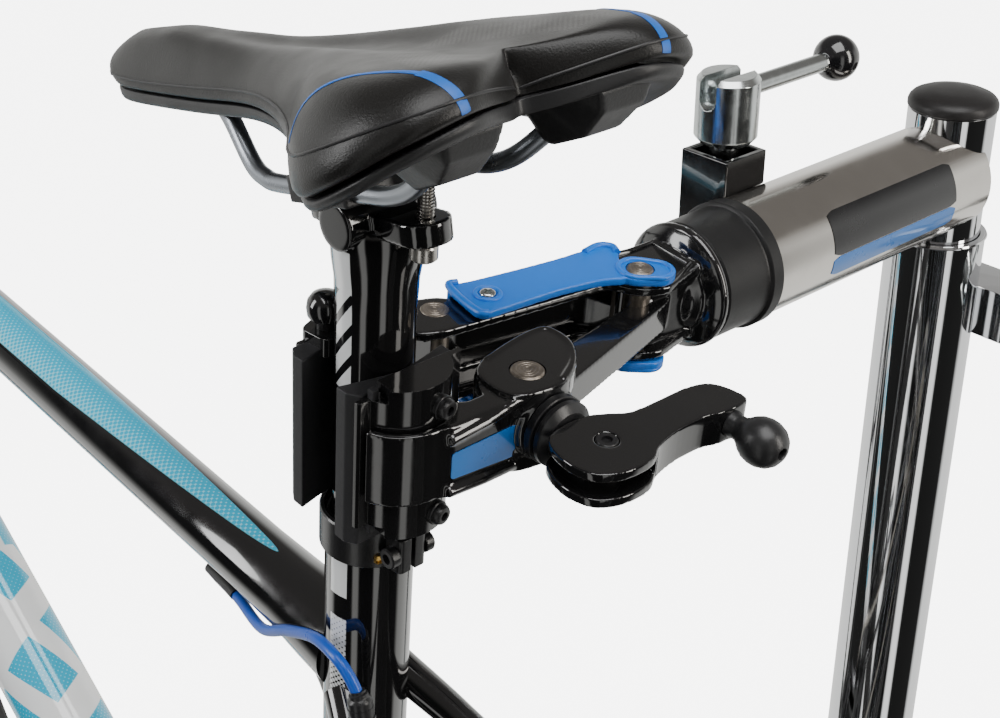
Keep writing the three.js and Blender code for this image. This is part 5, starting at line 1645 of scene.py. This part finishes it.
def build_shell():
    ring = edge_ring(4)
    rows = []
    for inset, drop in (
        (0.07, 1.9), (0.05, 3.6), (0.07, 6.4), (0.14, 8.0), (0.4, 6.5), (0.94, 6.0)
    ):
        rows.append(
            [
                Vector(
                    (
                        e.x + (s.x - e.x) * inset, e.y * (1 - inset),
                        e.z - drop + (31 - e.z) * min(1, max(0, inset - 0.12) * 1.5),
                    )
                )
                for e, s in ring
            ]
        )
    top = []
    for inset in (0.94, 0.4, 0.14):
        top.append(
            [
                Vector(
                    (
                        e.x + (s.x - e.x) * inset, e.y * (1 - inset),
                        e.z - 2.6 + (33.5 - e.z) * min(1, max(0, inset - 0.12) * 1.5),
                    )
                )
                for e, s in ring
            ]
        )
    shape = zipped([*reversed(rows), *reversed(top)])
    shell = new_object("saddle_base_shell", shape, SADDLE)
    sub = shell.modifiers.new("smooth_skin", "SUBSURF")
    sub.levels = sub.render_levels = 1
    apply_modifiers(shell)
    finish(shell, "clamp_head", "shell_black", ["saddle_shell"], sharp=60, weighted=False)
    for s, name in ((1, "left"), (-1, "right")):
        wedge = loft(
            [
                [(-107, s * 44, 27), (-107, s * 20, 27), (-104, s * 20, 31), (-104, s * 46, 31)],
                [(-104, s * 42, 19.5), (-104, s * 22, 19.5), (-88, s * 18, 31), (-88, s * 48, 31)],
                [(-94, s * 39, 11.5), (-94, s * 22, 11.5), (-74, s * 17, 30), (-74, s * 48, 29)],
                [(-80, s * 37, 8.5), (-79, s * 21, 8.5), (-66, s * 18, 28), (-66, s * 46, 26)],
                [(-75, s * 35, 9.5), (-74, s * 22, 9.5), (-63, s * 20, 26), (-63, s * 42, 25)],
            ]
        )
        socket = new_object("rail_socket_" + name, wedge, SADDLE)
        melt(socket, 0.8, 8)
        finish(socket, "clamp_head", "shell_black", sharp=60)
    nose = loft(
        [
            [(88, -12, 22.5), (88, 12, 22.5), (88, 15, 30), (88, -15, 30)],
            [(118, -9, 21), (118, 9, 21), (120, 13, 30), (120, -13, 30)],
            [(140, -6, 25), (140, 6, 25), (142, 9, 31), (142, -9, 31)],
        ]
    )
    block = new_object("rail_nose_block", nose, SADDLE)
    melt(block, 0.8, 6)
    finish(block, "clamp_head", "shell_black", sharp=60)
    rail = [
        (-97, 31, 27), (-77, 26, 14.5), (-60, 23, 4.5), (-46, 22, 0.4), (-30, 22, 0), (-10, 22, 0),
        (20, 22, 0), (30, 21.6, 1.4), (40, 20, 6), (58, 15, 22), (70, 12.6, 26), (80, 11, 27),
        (104, 8, 28),
    ]
    path = spline(
        rail + [
            (110, 4, 28), (111, 0, 28), (110, -4, 28)
        ] + [(x, -y, z) for x, y, z in reversed(rail)],
        8,
    )
    piece(
        "saddle_rail_pair", tube(path, 3.5, 32), SADDLE, "clamp_head", "rail_gunmetal",
        ["saddle_rails"], sharp=60,
    )


build_seatpost()
build_saddle()

# ---- bicycle, in its riding frame: x forward, y left, z up, from the bottom bracket ----------

SEAT_TUBE_R = 18.2
SEAT_TUBE_TOP = 521
TOP_TUBE_R = 16.75
DOWN_TUBE_R = 25
CHAINLINE = -53
ARM_FACE = 78
CRANK_LENGTH = 175
SHELL_HALF = 36.5
TOP_RISE, DOWN_RISE = math.radians(16.7), math.radians(47.3)
SEATPOST_SEAT = 16.15
HEAD_HALF = 60
SPOKES = 32
KNOB_ROWS = 92
CHAIN_PITCH = 12.7


def meet_head(start, rise):
    """Where a tube's axis meets the steering axis."""
    way = Vector((math.cos(rise), 0, math.sin(rise)))
    up = steer(1) - HEAD_CENTRE
    gap = HEAD_CENTRE - start
    return start + way * ((gap.x * up.z - gap.z * up.x) / (way.x * up.z - way.z * up.x))


def tube_along(name, start, end, profile, material, node, body="bike_frame", sides=96, sharp=50):
    """A round tube whose own z runs along it, so that its graphics follow it."""
    return piece(
        name, lathe(profile, sides), along(BIKE, start, end), body, material, [node], sharp=sharp
    )


def bike_piece(name, shape, body, material, nodes=(), **words):
    return piece(name, shape, BIKE, body, material, nodes, **words)


def swept_bar(name, points, radii, material, nodes, body="bike_frame", steps=8, sides=28):
    """A bar along a smooth curve, its radius changing smoothly between the points."""
    path = spline(points, steps)
    if isinstance(radii, (int, float)):
        radii = [radii] * len(points)
    sizes = [p.x for p in spline([(r, 0, 0) for r in radii], steps)]
    return bike_piece(name, tube(path, sizes, sides), body, material, nodes, sharp=60)


def build_frame_tubes():
    seat_end = seat(SEAT_TUBE_TOP)
    bore = SEATPOST_SEAT
    profile = [
        (bore, 10), (SEAT_TUBE_R + 2, 10), (SEAT_TUBE_R + 1.2, 60), (SEAT_TUBE_R, 120),
        (SEAT_TUBE_R, 400), (SEAT_TUBE_R, 505), (SEAT_TUBE_R, 520.4), (SEAT_TUBE_R - 0.6, 521),
        (bore, 521), (bore, 10),
    ]
    tube_along("frame_seat_tube", seat(0), seat_end, profile, "seat_tube_paint", "seat_tube")
    shell = pipe((0, -SHELL_HALF, 0), (0, SHELL_HALF, 0), 22, 17.8, 96)
    bike_piece("frame_bottom_shell", shell, "bike_frame", "frame_black")
    top_start = seat(441)
    top_end = meet_head(top_start, TOP_RISE)
    length = (top_end - top_start).length
    radii = [
        (0, 6), (20.5, 8), (19.4, 26), (17.6, 48), (TOP_TUBE_R, 80), (TOP_TUBE_R, length - 90),
        (18.5, length - 50), (20.5, length - 24), (0, length - 22),
    ]
    tube_along("frame_top_tube", top_start, top_end, radii, "top_tube_paint", "top_tube")
    down_end = meet_head(Vector((0, 0, 0)), DOWN_RISE)
    length = down_end.length
    radii = [
        (0, 14), (24, 16), (DOWN_TUBE_R, 60), (DOWN_TUBE_R, length - 120), (26, length - 60),
        (24.6, length - 26), (0, length - 24),
    ]
    tube_along(
        "frame_down_tube", Vector((0, 0, 0)), down_end, radii, "down_tube_paint", "down_tube"
    )
    h = HEAD_HALF
    profile = [
        (18, -h), (24, -h), (25, -h + 1), (25.4, -h + 8), (24.4, -h + 11), (23.6, -30), (23.2, 0),
        (23.6, 30), (24.4, h - 11), (25.4, h - 8), (25, h - 1), (24, h), (18, h), (18, -h),
    ]
    tube_along("frame_head_tube", steer(0), steer(60), profile, "frame_black", "head_tube")
    for name, z in (("upper", 56.5), ("lower", -59)):
        ring = [
            (18.2, z), (24.6, z), (25.2, z + 0.6), (25.2, z + 1.9), (24.6, z + 2.5),
            (18.2, z + 2.5), (18.2, z),
        ]
        piece(
            "headset_cup_" + name, lathe(ring, 96), along(BIKE, steer(0), steer(60)), "bike_frame",
            "alloy_black",
        )
    web = [
        tuple((seat(s) + Vector((dx, 0, dz))).xz)
        for s, dx, dz in (
            (428, 12, 0), (432, 52, 8), (424, 34, 4), (412, 24, 0), (396, 18, -2), (378, 15, -4),
            (380, 8, 0),
        )
    ]
    gusset = new_object("frame_gusset", upright(web, -6, 6), BIKE)
    melt(gusset, 1.0, 8)
    finish(gusset, "bike_frame", "frame_black", sharp=60)


def build_stays():
    chain = [
        (-12, 27, 2), (-60, 35, 5), (-110, 45, 13), (-250, 58, 34), (-380, 69, 52), (-428, 71.5, 58)
    ]
    seat_stay = [
        (-124, 14, 412), (-146, 26, 388), (-170, 36, 362), (-215, 46, 312), (-330, 60, 190),
        (-439, 71.5, 66),
    ]
    for s, name in ((1, "left"), (-1, "right")):
        swept_bar(
            "frame_chainstay_" + name, [(x, s * y, z) for x, y, z in chain],
            [8.4, 8.5, 8.5, 8.2, 7.6, 7], "frame_black", ["chainstay_" + name],
        )
        swept_bar(
            "frame_seatstay_" + name, [(x, s * y, z) for x, y, z in seat_stay],
            [8.4, 7.6, 7, 7, 6.8, 6.4], "frame_black", ["seatstay_" + name],
        )
        dropout = merge(
            turned(
                [(0, 0), (14.4, 0), (15, 0.6), (15, 6.4), (14.4, 7), (0, 7)],
                (REAR_AXLE.x, s * 68, 60), (REAR_AXLE.x, s * 90, 60), 64,
            ),
            turned(
                [(0, 7), (9, 7), (9, 8.4), (7.8, 9), (3, 9), (3, 7.6), (0, 7.6)],
                (REAR_AXLE.x, s * 68, 60), (REAR_AXLE.x, s * 90, 60), 48,
            ),
        )
        bike_piece("frame_dropout_" + name, dropout, "bike_frame", "frame_black", sharp=30)


def build_collar_and_cable():
    collar_frame = BIKE @ Matrix.Translation(
        seat(SEAT_TUBE_TOP + 2) * MM
    ) @ Matrix.Rotation(-SEAT_LEAN, 4, "Y")
    r = SEAT_TUBE_R
    ring = [
        (r + 0.3, -18), (r + 1.8, -18), (r + 2.3, -17.4), (r + 2.3, -0.8), (r + 1.8, 0),
        (r + 0.3, 0), (r + 0.3, -18),
    ]
    lug = slab(rounded([(-27.5, -6.5), (-27.5, 6.5), (-17.5, 7.5), (-17.5, -7.5)], 2), -17, -1)
    collar = new_object("collar_band", merge(lathe(ring, 96)), collar_frame)
    cut(collar, box(-40, -r + 2, -1, 1, -30, 10))
    finish(collar, "bike_frame", "alloy_black", ["seat_collar"], sharp=30)
    block = new_object("collar_lug", lug, collar_frame)
    cut(block, box(-40, 0, -1, 1, -30, 10), rod((0, 0, -30), (0, 0, 10), r + 0.6, 96))
    bevel(block, 0.6, 3)
    finish(block, "bike_frame", "alloy_black")
    bolts = merge(
        *[
            turned(
                [
                    (0, 0), (4.2, 0), (4.4, 0.5), (4.4, 3.6), (3.9, 4.2), (2.2, 4.2), (2.0, 2.2),
                    (0, 2.0),
                ],
                (-24, s * 6.6, -9), (-24, s * 30, -9), 48,
            )
            for s in (1, -1)
        ]
    )
    piece("collar_bolts", bolts, collar_frame, "bike_frame", "washer_black", sharp=30)
    pin = turned(
        [(0, 0), (1.9, 0), (2.0, 1.6), (1.2, 1.8), (1.0, 1.0), (0, 1.0)], (-17.6, 9.6, -13),
        (-30, 16.5, -13), 32,
    )
    piece("collar_set_screw", pin, collar_frame, "bike_frame", "brass", sharp=30)
    line = [
        (-33, 9, 431), (-45, 11, 428), (-72, 17.5, 426), (-100, 21, 436), (-126, 24, 443),
        (-143, 26, 441), (-150, 25.5, 434), (-153, 24.5, 425),
    ]
    line = [(-18, 7.6, 433.6), *line]
    swept_bar("gear_cable_housing", line, 2.55, "cable_blue", ["cable_housing"], steps=12, sides=24)
    stop = tube(
        [(-14, 7, 434.4), (-24, 8, 432.6), (-33, 9, 431), (-40, 10.2, 429.4)], [2.8, 3.2, 3.2, 2.9],
        28,
    )
    bike_piece("cable_stop", stop, "bike_frame", "washer_black", sharp=50)
    boot = tube(
        spline(
            [
                (-152.6, 24.4, 428), (-153, 24.5, 423), (-153, 25, 410), (-152.6, 26, 396),
                (-152, 27, 384),
            ],
            8,
        ),
        [3.2] * 3 + [4.1] * 4 + [5.2] * 10 + [5.9] * 8 + [6.6] * 8, 32,
    )
    ridges = merge(
        *[
            tube(
                [(-153, 24.6 + 0.1 * i, 420.5 - 4.5 * i), (-153, 24.7 + 0.1 * i, 418.6 - 4.5 * i)],
                5.4 + 0.25 * i, 32,
            )
            for i in range(3)
        ]
    )
    bike_piece("cable_boot", merge(boot, ridges), "bike_frame", "washer_black", sharp=60)


def build_fork():
    for node, material, voxel in (
        ("fork_upper", "fork_black", 1.3), ("fork_lower", "fork_black", 1.3),
        ("stem", "alloy_black", 1.0), ("handlebar", "alloy_black", 1.1),
    ):
        softened(node, material, node + "_skin", voxel=voxel, rounds=10)
    for s, name in ((1, "left"), (-1, "right")):
        leg = [steer(u, 18, s * 65) for u in (-110, -205)]
        bike_piece("fork_stanchion_" + name, rod(leg[0], leg[1], 16.2, 72), "steering", "stanchion")
        wiper = turned(
            [(16.4, 0), (20, 0), (20.4, 1), (20.2, 6), (17.6, 9), (16.4, 9), (16.4, 0)],
            steer(-206, 18, s * 65), steer(0, 18, s * 65), 72,
        )
        bike_piece("fork_wiper_" + name, wiper, "fork_sliders", "cap_black", sharp=40)
        path = [
            steer(92 + u, 62 + f, s * y)
            for u, f, y in (
                (18.8, -27, 282), (19.4, -32, 305), (19.9, -36.5, 330), (20.3, -39.8, 358.5)
            )
        ]
        line = spline(path, 24)
        sizes = [16.2 if (i // 3) % 2 else 15.5 for i in range(len(line))]
        sizes[:3] = [17.6] * 3
        sizes[-2:] = [16.0, 13.5]
        bike_piece(
            "grip_ribs_" + name, tube(line, sizes, 40), "steering", "grip_rubber", ["grip_" + name],
            sharp=80,
        )
        blade = [
            steer(92 + u, 62 + f, s * y)
            for u, f, y in ((-2, 37, 220), (1, 42, 240), (2, 38, 270), (4, 32, 310), (5, 36, 322))
        ]
        swept_bar(
            "brake_blade_" + name, blade, [4.8, 4.4, 4.0, 4.0, 4.6], "alloy_black",
            ["brake_lever_" + name], name + "_brake",
        )


# Tyre section: radius from the axle and y; knobs stand on the tread.
TYRE_RING, TYRE_SECTION = 340, 27.2


def build_tyre(name, base, body, node):
    outer = arc(TYRE_RING, 0, TYRE_SECTION, -142, 142, 30)
    inner = arc(TYRE_RING, 0, TYRE_SECTION - 2.4, 142, -142, 16)
    casing = turned([*outer, *inner, outer[0]], (0, 0, 0), (0, 1, 0), 160)
    piece(name + "_casing", casing, base, body, "tyre_rubber", [node], sharp=60)
    knobs = []
    for i in range(KNOB_ROWS):
        turn = Matrix.Rotation(2 * math.pi * i / KNOB_ROWS, 4, "Y")
        rows = (
            (-38, 8, 5.2), (-14, 9, 4.2), (12, 9, 4.2), (38, 8, 5.2)
        ) if i % 2 else ((-26, 9, 4.6), (0, 11, 4.6), (26, 9, 4.6))
        for angle, long, wide in rows:
            a = math.radians(angle)
            at = Matrix.Translation((TYRE_RING, 0, 0)) @ Matrix.Rotation(a, 4, "Z")
            knob = loft(
                [
                    [
                        (TYRE_SECTION - 0.6, -wide, -long), (TYRE_SECTION - 0.6, wide, -long),
                        (TYRE_SECTION - 0.6, wide, long), (TYRE_SECTION - 0.6, -wide, long),
                    ],
                    [
                        (TYRE_SECTION + 0.75, -wide * 0.8, -long * 0.85),
                        (TYRE_SECTION + 0.75, wide * 0.8, -long * 0.85),
                        (TYRE_SECTION + 0.75, wide * 0.8, long * 0.85),
                        (TYRE_SECTION + 0.75, -wide * 0.8, long * 0.85),
                    ],
                ]
            )
            knobs.append(moved(knob, turn @ at))
    piece(name + "_knobs", merge(*knobs), base, body, "tyre_rubber")


def build_wheel(name, base, body, node, hub, flanges, rotor_y):
    rim = [
        (297, -7), (299, -10.5), (305, -13), (315, -13), (315.6, -12.2), (315.6, -11), (299.4, -4),
        (299.4, 4), (315.6, 11), (315.6, 12.2), (315, 13), (305, 13), (299, 10.5), (297, 7),
        (296.4, 0), (297, -7),
    ]
    piece(
        name + "_rim", turned(rim, (0, 0, 0), (0, 1, 0), 160), base, body, "alloy_black", [node],
        sharp=30,
    )
    piece(name + "_hub", turned(hub, (0, 0, 0), (0, 1, 0), 72), base, body, "alloy_black", sharp=30)
    wires, nipples = [], []
    for i in range(SPOKES):
        side = i % 2
        a = 2 * math.pi * i / SPOKES
        lean = a + (0.75 if i % 4 < 2 else -0.75)
        r, y = flanges[side]
        root = Vector((r * math.cos(lean), y, r * math.sin(lean)))
        tip = Vector((298 * math.cos(a), -3 if side else 3, 298 * math.sin(a)))
        wires.append(rod(root, tip, 1.0, 10, 0.1))
        nipples.append(rod(tip + (root - tip).normalized() * 14, tip, 1.9, 12, 0.4))
    piece(name + "_spokes", merge(*wires), base, body, "rail_gunmetal")
    piece(name + "_nipples", merge(*nipples), base, body, "zinc_steel")
    y0 = rotor_y
    ring = pipe((0, y0, 0), (0, y0 + 1.9, 0), 80, 64, 120, 0.2)
    disc = new_object(name + "_rotor", ring, base)
    cutter = merge(
        *[
            rod(
                (72 * math.cos(a), y0 - 3, 72 * math.sin(a)),
                (72 * math.cos(a), y0 + 5, 72 * math.sin(a)), 3.6, 10,
            )
            for a in (2 * math.pi * i / 24 for i in range(24))
        ]
    )
    cut(disc, cutter)
    finish(disc, body, "clamp_zinc", sharp=30)
    arms = [
        tube(
            [
                (17 * math.cos(a), y0 + 1, 17 * math.sin(a)),
                (45 * math.cos(a + 0.25), y0 + 1, 45 * math.sin(a + 0.25)),
                (66 * math.cos(a + 0.35), y0 + 1, 66 * math.sin(a + 0.35)),
            ],
            [2.4, 2.0, 2.2], 10,
        )
        for a in (2 * math.pi * i / 6 for i in range(6))
    ]
    flat = [([(x, y0 + 1 + (y - y0 - 1) * 0.4, z) for x, y, z in p], f) for p, f in arms]
    centre = pipe((0, y0, 0), (0, y0 + 1.9, 0), 21, 13, 64, 0.2)
    piece(name + "_rotor_arms", merge(centre, *flat), base, body, "clamp_zinc")


def toothed(radius, teeth, thick, y, depth=3.6):
    """A sprocket's toothed disc round the y axis."""
    outline = []
    for i in range(teeth):
        for share, r in (
            (0.0, radius), (0.18, radius), (0.34, radius - depth), (0.66, radius - depth),
            (0.82, radius),
        ):
            a = 2 * math.pi * (i + share) / teeth
            outline.append((r * math.cos(a), r * math.sin(a)))
    return upright(outline, y - thick / 2, y + thick / 2)


def build_wheels():
    front = BIKE @ Matrix.Translation(steer(-FORK_AXLE_DROP, FORK_OFFSET) * MM)
    rear = BIKE @ Matrix.Translation(REAR_AXLE * MM)
    hub = [
        (0, -50), (9.6, -50), (10, -49.4), (10, -37), (25, -33.6), (26, -32.6), (26, -30),
        (14, -26), (12, -20), (11.4, 0), (12, 16), (14, 20), (26, 24), (27, 25), (27, 27), (20, 30),
        (16, 36), (16, 40), (10, 42), (10, 49.4), (9.6, 50), (0, 50),
    ]
    build_wheel(
        "front", front, "front_wheel_body", "front_wheel", hub, [(23, 25.5), (23, -31.5)], 38
    )
    build_tyre("front_tread", front, "front_wheel_body", "front_tyre")
    hub = [
        (0, -66.5), (10.6, -66.5), (11, -66), (11, -61), (24, -60), (26, -56), (26, -36), (20, -33),
        (25, -31), (26, -30), (26, -27), (15, -22), (13, -14), (13, 20), (15, 27), (27, 31.6),
        (27, 35), (18, 40), (17, 50), (17, 52), (12, 54.5), (11, 66), (10.6, 66.5), (0, 66.5),
    ]
    build_wheel("rear", rear, "rear_wheel_body", "rear_wheel", hub, [(23, 33.5), (23, -28.5)], 50)
    build_tyre("rear_tread", rear, "rear_wheel_body", "rear_tyre")
    cogs = []
    for radius, y in (
        (27.5, -56.2), (32, -53), (42, -49), (46, -46.6), (51, -44.2), (57, -41.8), (63, -39.4),
        (68, -37),
    ):
        cogs.append(toothed(radius, int(radius / 2), 1.8, y, 3.2))
    piece("cassette", merge(*cogs), rear, "rear_wheel_body", "chain_steel")


def build_cranks():
    ring_teeth = toothed(65.5, 34, 3, CHAINLINE, 3.8)
    ring = new_object("chainring", ring_teeth, BIKE)
    cut(
        ring,
        *[
            rod(
                (38 * math.cos(a), -70, 38 * math.sin(a)),
                (38 * math.cos(a), -40, 38 * math.sin(a)), 15.5, 40,
            )
            for a in (math.radians(60 + 90 * i) for i in range(4))
        ]
    )
    bevel(ring, 0.3, 1)
    finish(ring, "cranks", "alloy_black", ["crankset"])
    for s, name, way in ((-1, "right", 1), (1, "left", -1)):
        y0, y1 = sorted((s * (ARM_FACE - 14), s * ARM_FACE))
        outline = [(way * x, z) for x, z in stadium((0, 0), 17, (CRANK_LENGTH, 0), 13, 20)]
        arm = new_object("crank_arm_" + name, upright(outline, y0, y1), BIKE)
        slot = upright(
            [(way * x, z) for x, z in stadium((36, 0), 6, (140, 0), 4.4, 10)],
            *sorted((s * (ARM_FACE - 4), s * (ARM_FACE + 4)))
        )
        cut(arm, slot)
        bevel(arm, 2.2, 4)
        finish(arm, "cranks", "alloy_black", ["crank_left"] if s > 0 else [])
        cap = turned(
            [(0, 0), (11, 0), (12, 0.8), (12, 1.6), (9, 2.6), (5, 2.6), (4.6, 1.4), (0, 1.2)],
            (0, s * (ARM_FACE - 1), 0), (0, s * 200, 0), 48,
        )
        spindle = rod(
            (way * CRANK_LENGTH, s * (ARM_FACE - 6), 0),
            (way * CRANK_LENGTH, s * (ARM_FACE + 90), 0), 6, 40,
        )
        bike_piece("crank_axle_cap_" + name, cap, "cranks", "washer_black", sharp=30)
        bike_piece("pedal_spindle_" + name, spindle, "cranks", "zinc_steel")
        softened("pedal_" + name, "alloy_black", "pedal_body_" + name, edge=1.6)
        start = s * (ARM_FACE + 8)
        pins = [
            rod(
                (way * CRANK_LENGTH + dx, start + s * dy, -10.2),
                (way * CRANK_LENGTH + dx, start + s * dy, 10.2), 1.9, 12,
            )
            for dx in (-43, 43)
            for dy in (8, 30, 62, 84)
        ]
        bike_piece("pedal_pins_" + name, merge(*pins), name + "_pedal", "zinc_steel")
    axle = merge(
        rod((0, -ARM_FACE + 14, 0), (0, ARM_FACE - 14, 0), 12, 48),
        pipe((0, -64, 0), (0, -36.8, 0), 19.5, 12.2, 64),
    )
    bike_piece("crank_axle", axle, "cranks", "alloy_black")


PULLEYS = (
    Vector((REAR_AXLE.x + 6, REAR_AXLE.z - 66)), Vector((REAR_AXLE.x + 28, REAR_AXLE.z - 122))
)


def chain_route():
    """Points one pitch apart along the chain, round chainring, cog and pulleys."""
    wheels = (
        (Vector((0, 0)), 66.5, 1), (Vector((REAR_AXLE.x, REAR_AXLE.z)), 34.5, 1),
        (PULLEYS[0], 21.5, -1), (PULLEYS[1], 21.5, 1),
    )
    spans = []
    for i, (a, ra, sa) in enumerate(wheels):
        b, rb, sb = wheels[(i + 1) % 4]
        heading = math.atan2(b.y - a.y, b.x - a.x)
        leave = heading - math.acos((sa * ra - sb * rb) / (b - a).length)
        spans.append((leave + (math.pi if sa < 0 else 0), leave + (math.pi if sb < 0 else 0)))
    line = []
    for i, (c, r, s) in enumerate(wheels):
        start, sweep = spans[i - 1][1], (spans[i][0] - spans[i - 1][1]) % (2 * math.pi)
        sweep = sweep if s > 0 else sweep - 2 * math.pi
        if abs(sweep) > 1.98 * math.pi:
            sweep = 0.0
        steps = max(4, int(abs(sweep) * r / 2))
        line += [
            c + r * Vector(
                (math.cos(start + sweep * k / steps), math.sin(start + sweep * k / steps))
            )
            for k in range(steps + 1)
        ]
    line.append(line[0])
    total = sum((b - a).length for a, b in zip(line, line[1:]))
    count = 2 * round(total / CHAIN_PITCH / 2)
    step, out, left = total / count, [], 0.0
    for a, b in zip(line, line[1:]):
        length = (b - a).length
        while left < length - 1e-9:
            out.append(a + (b - a) * (left / length))
            left += step
        left -= length
    return out[:count]


def build_chain():
    points = chain_route()
    inner, outer, pins = [], [], []
    for i, p in enumerate(points):
        q = points[(i + 1) % len(points)]
        outline = stadium((p.x, p.y), 3.6, (q.x, q.y), 3.55, 5)
        reach = (2.2, 3.2) if i % 2 else (1.2, 2.2)
        for s in (1, -1):
            y0, y1 = sorted((CHAINLINE + s * reach[0], CHAINLINE + s * (reach[1] - 0.15)))
            (outer if i % 2 else inner).append(upright(outline, y0, y1))
        pins.append(rod((p.x, CHAINLINE - 3.3, p.y), (p.x, CHAINLINE + 3.3, p.y), 1.7, 10, 0.2))
        pins.append(rod((p.x, CHAINLINE - 1.2, p.y), (p.x, CHAINLINE + 1.2, p.y), 3.4, 14, 0.2))
    bike_piece("chain_links", merge(*inner, *outer, *pins), "bike_frame", "chain_steel", ["chain"])
    softened("rear_derailleur", "alloy_black", "derailleur_body", edge=0.5)


build_frame_tubes()
build_stays()
build_collar_and_cable()
build_fork()
build_wheels()
build_cranks()
build_chain()
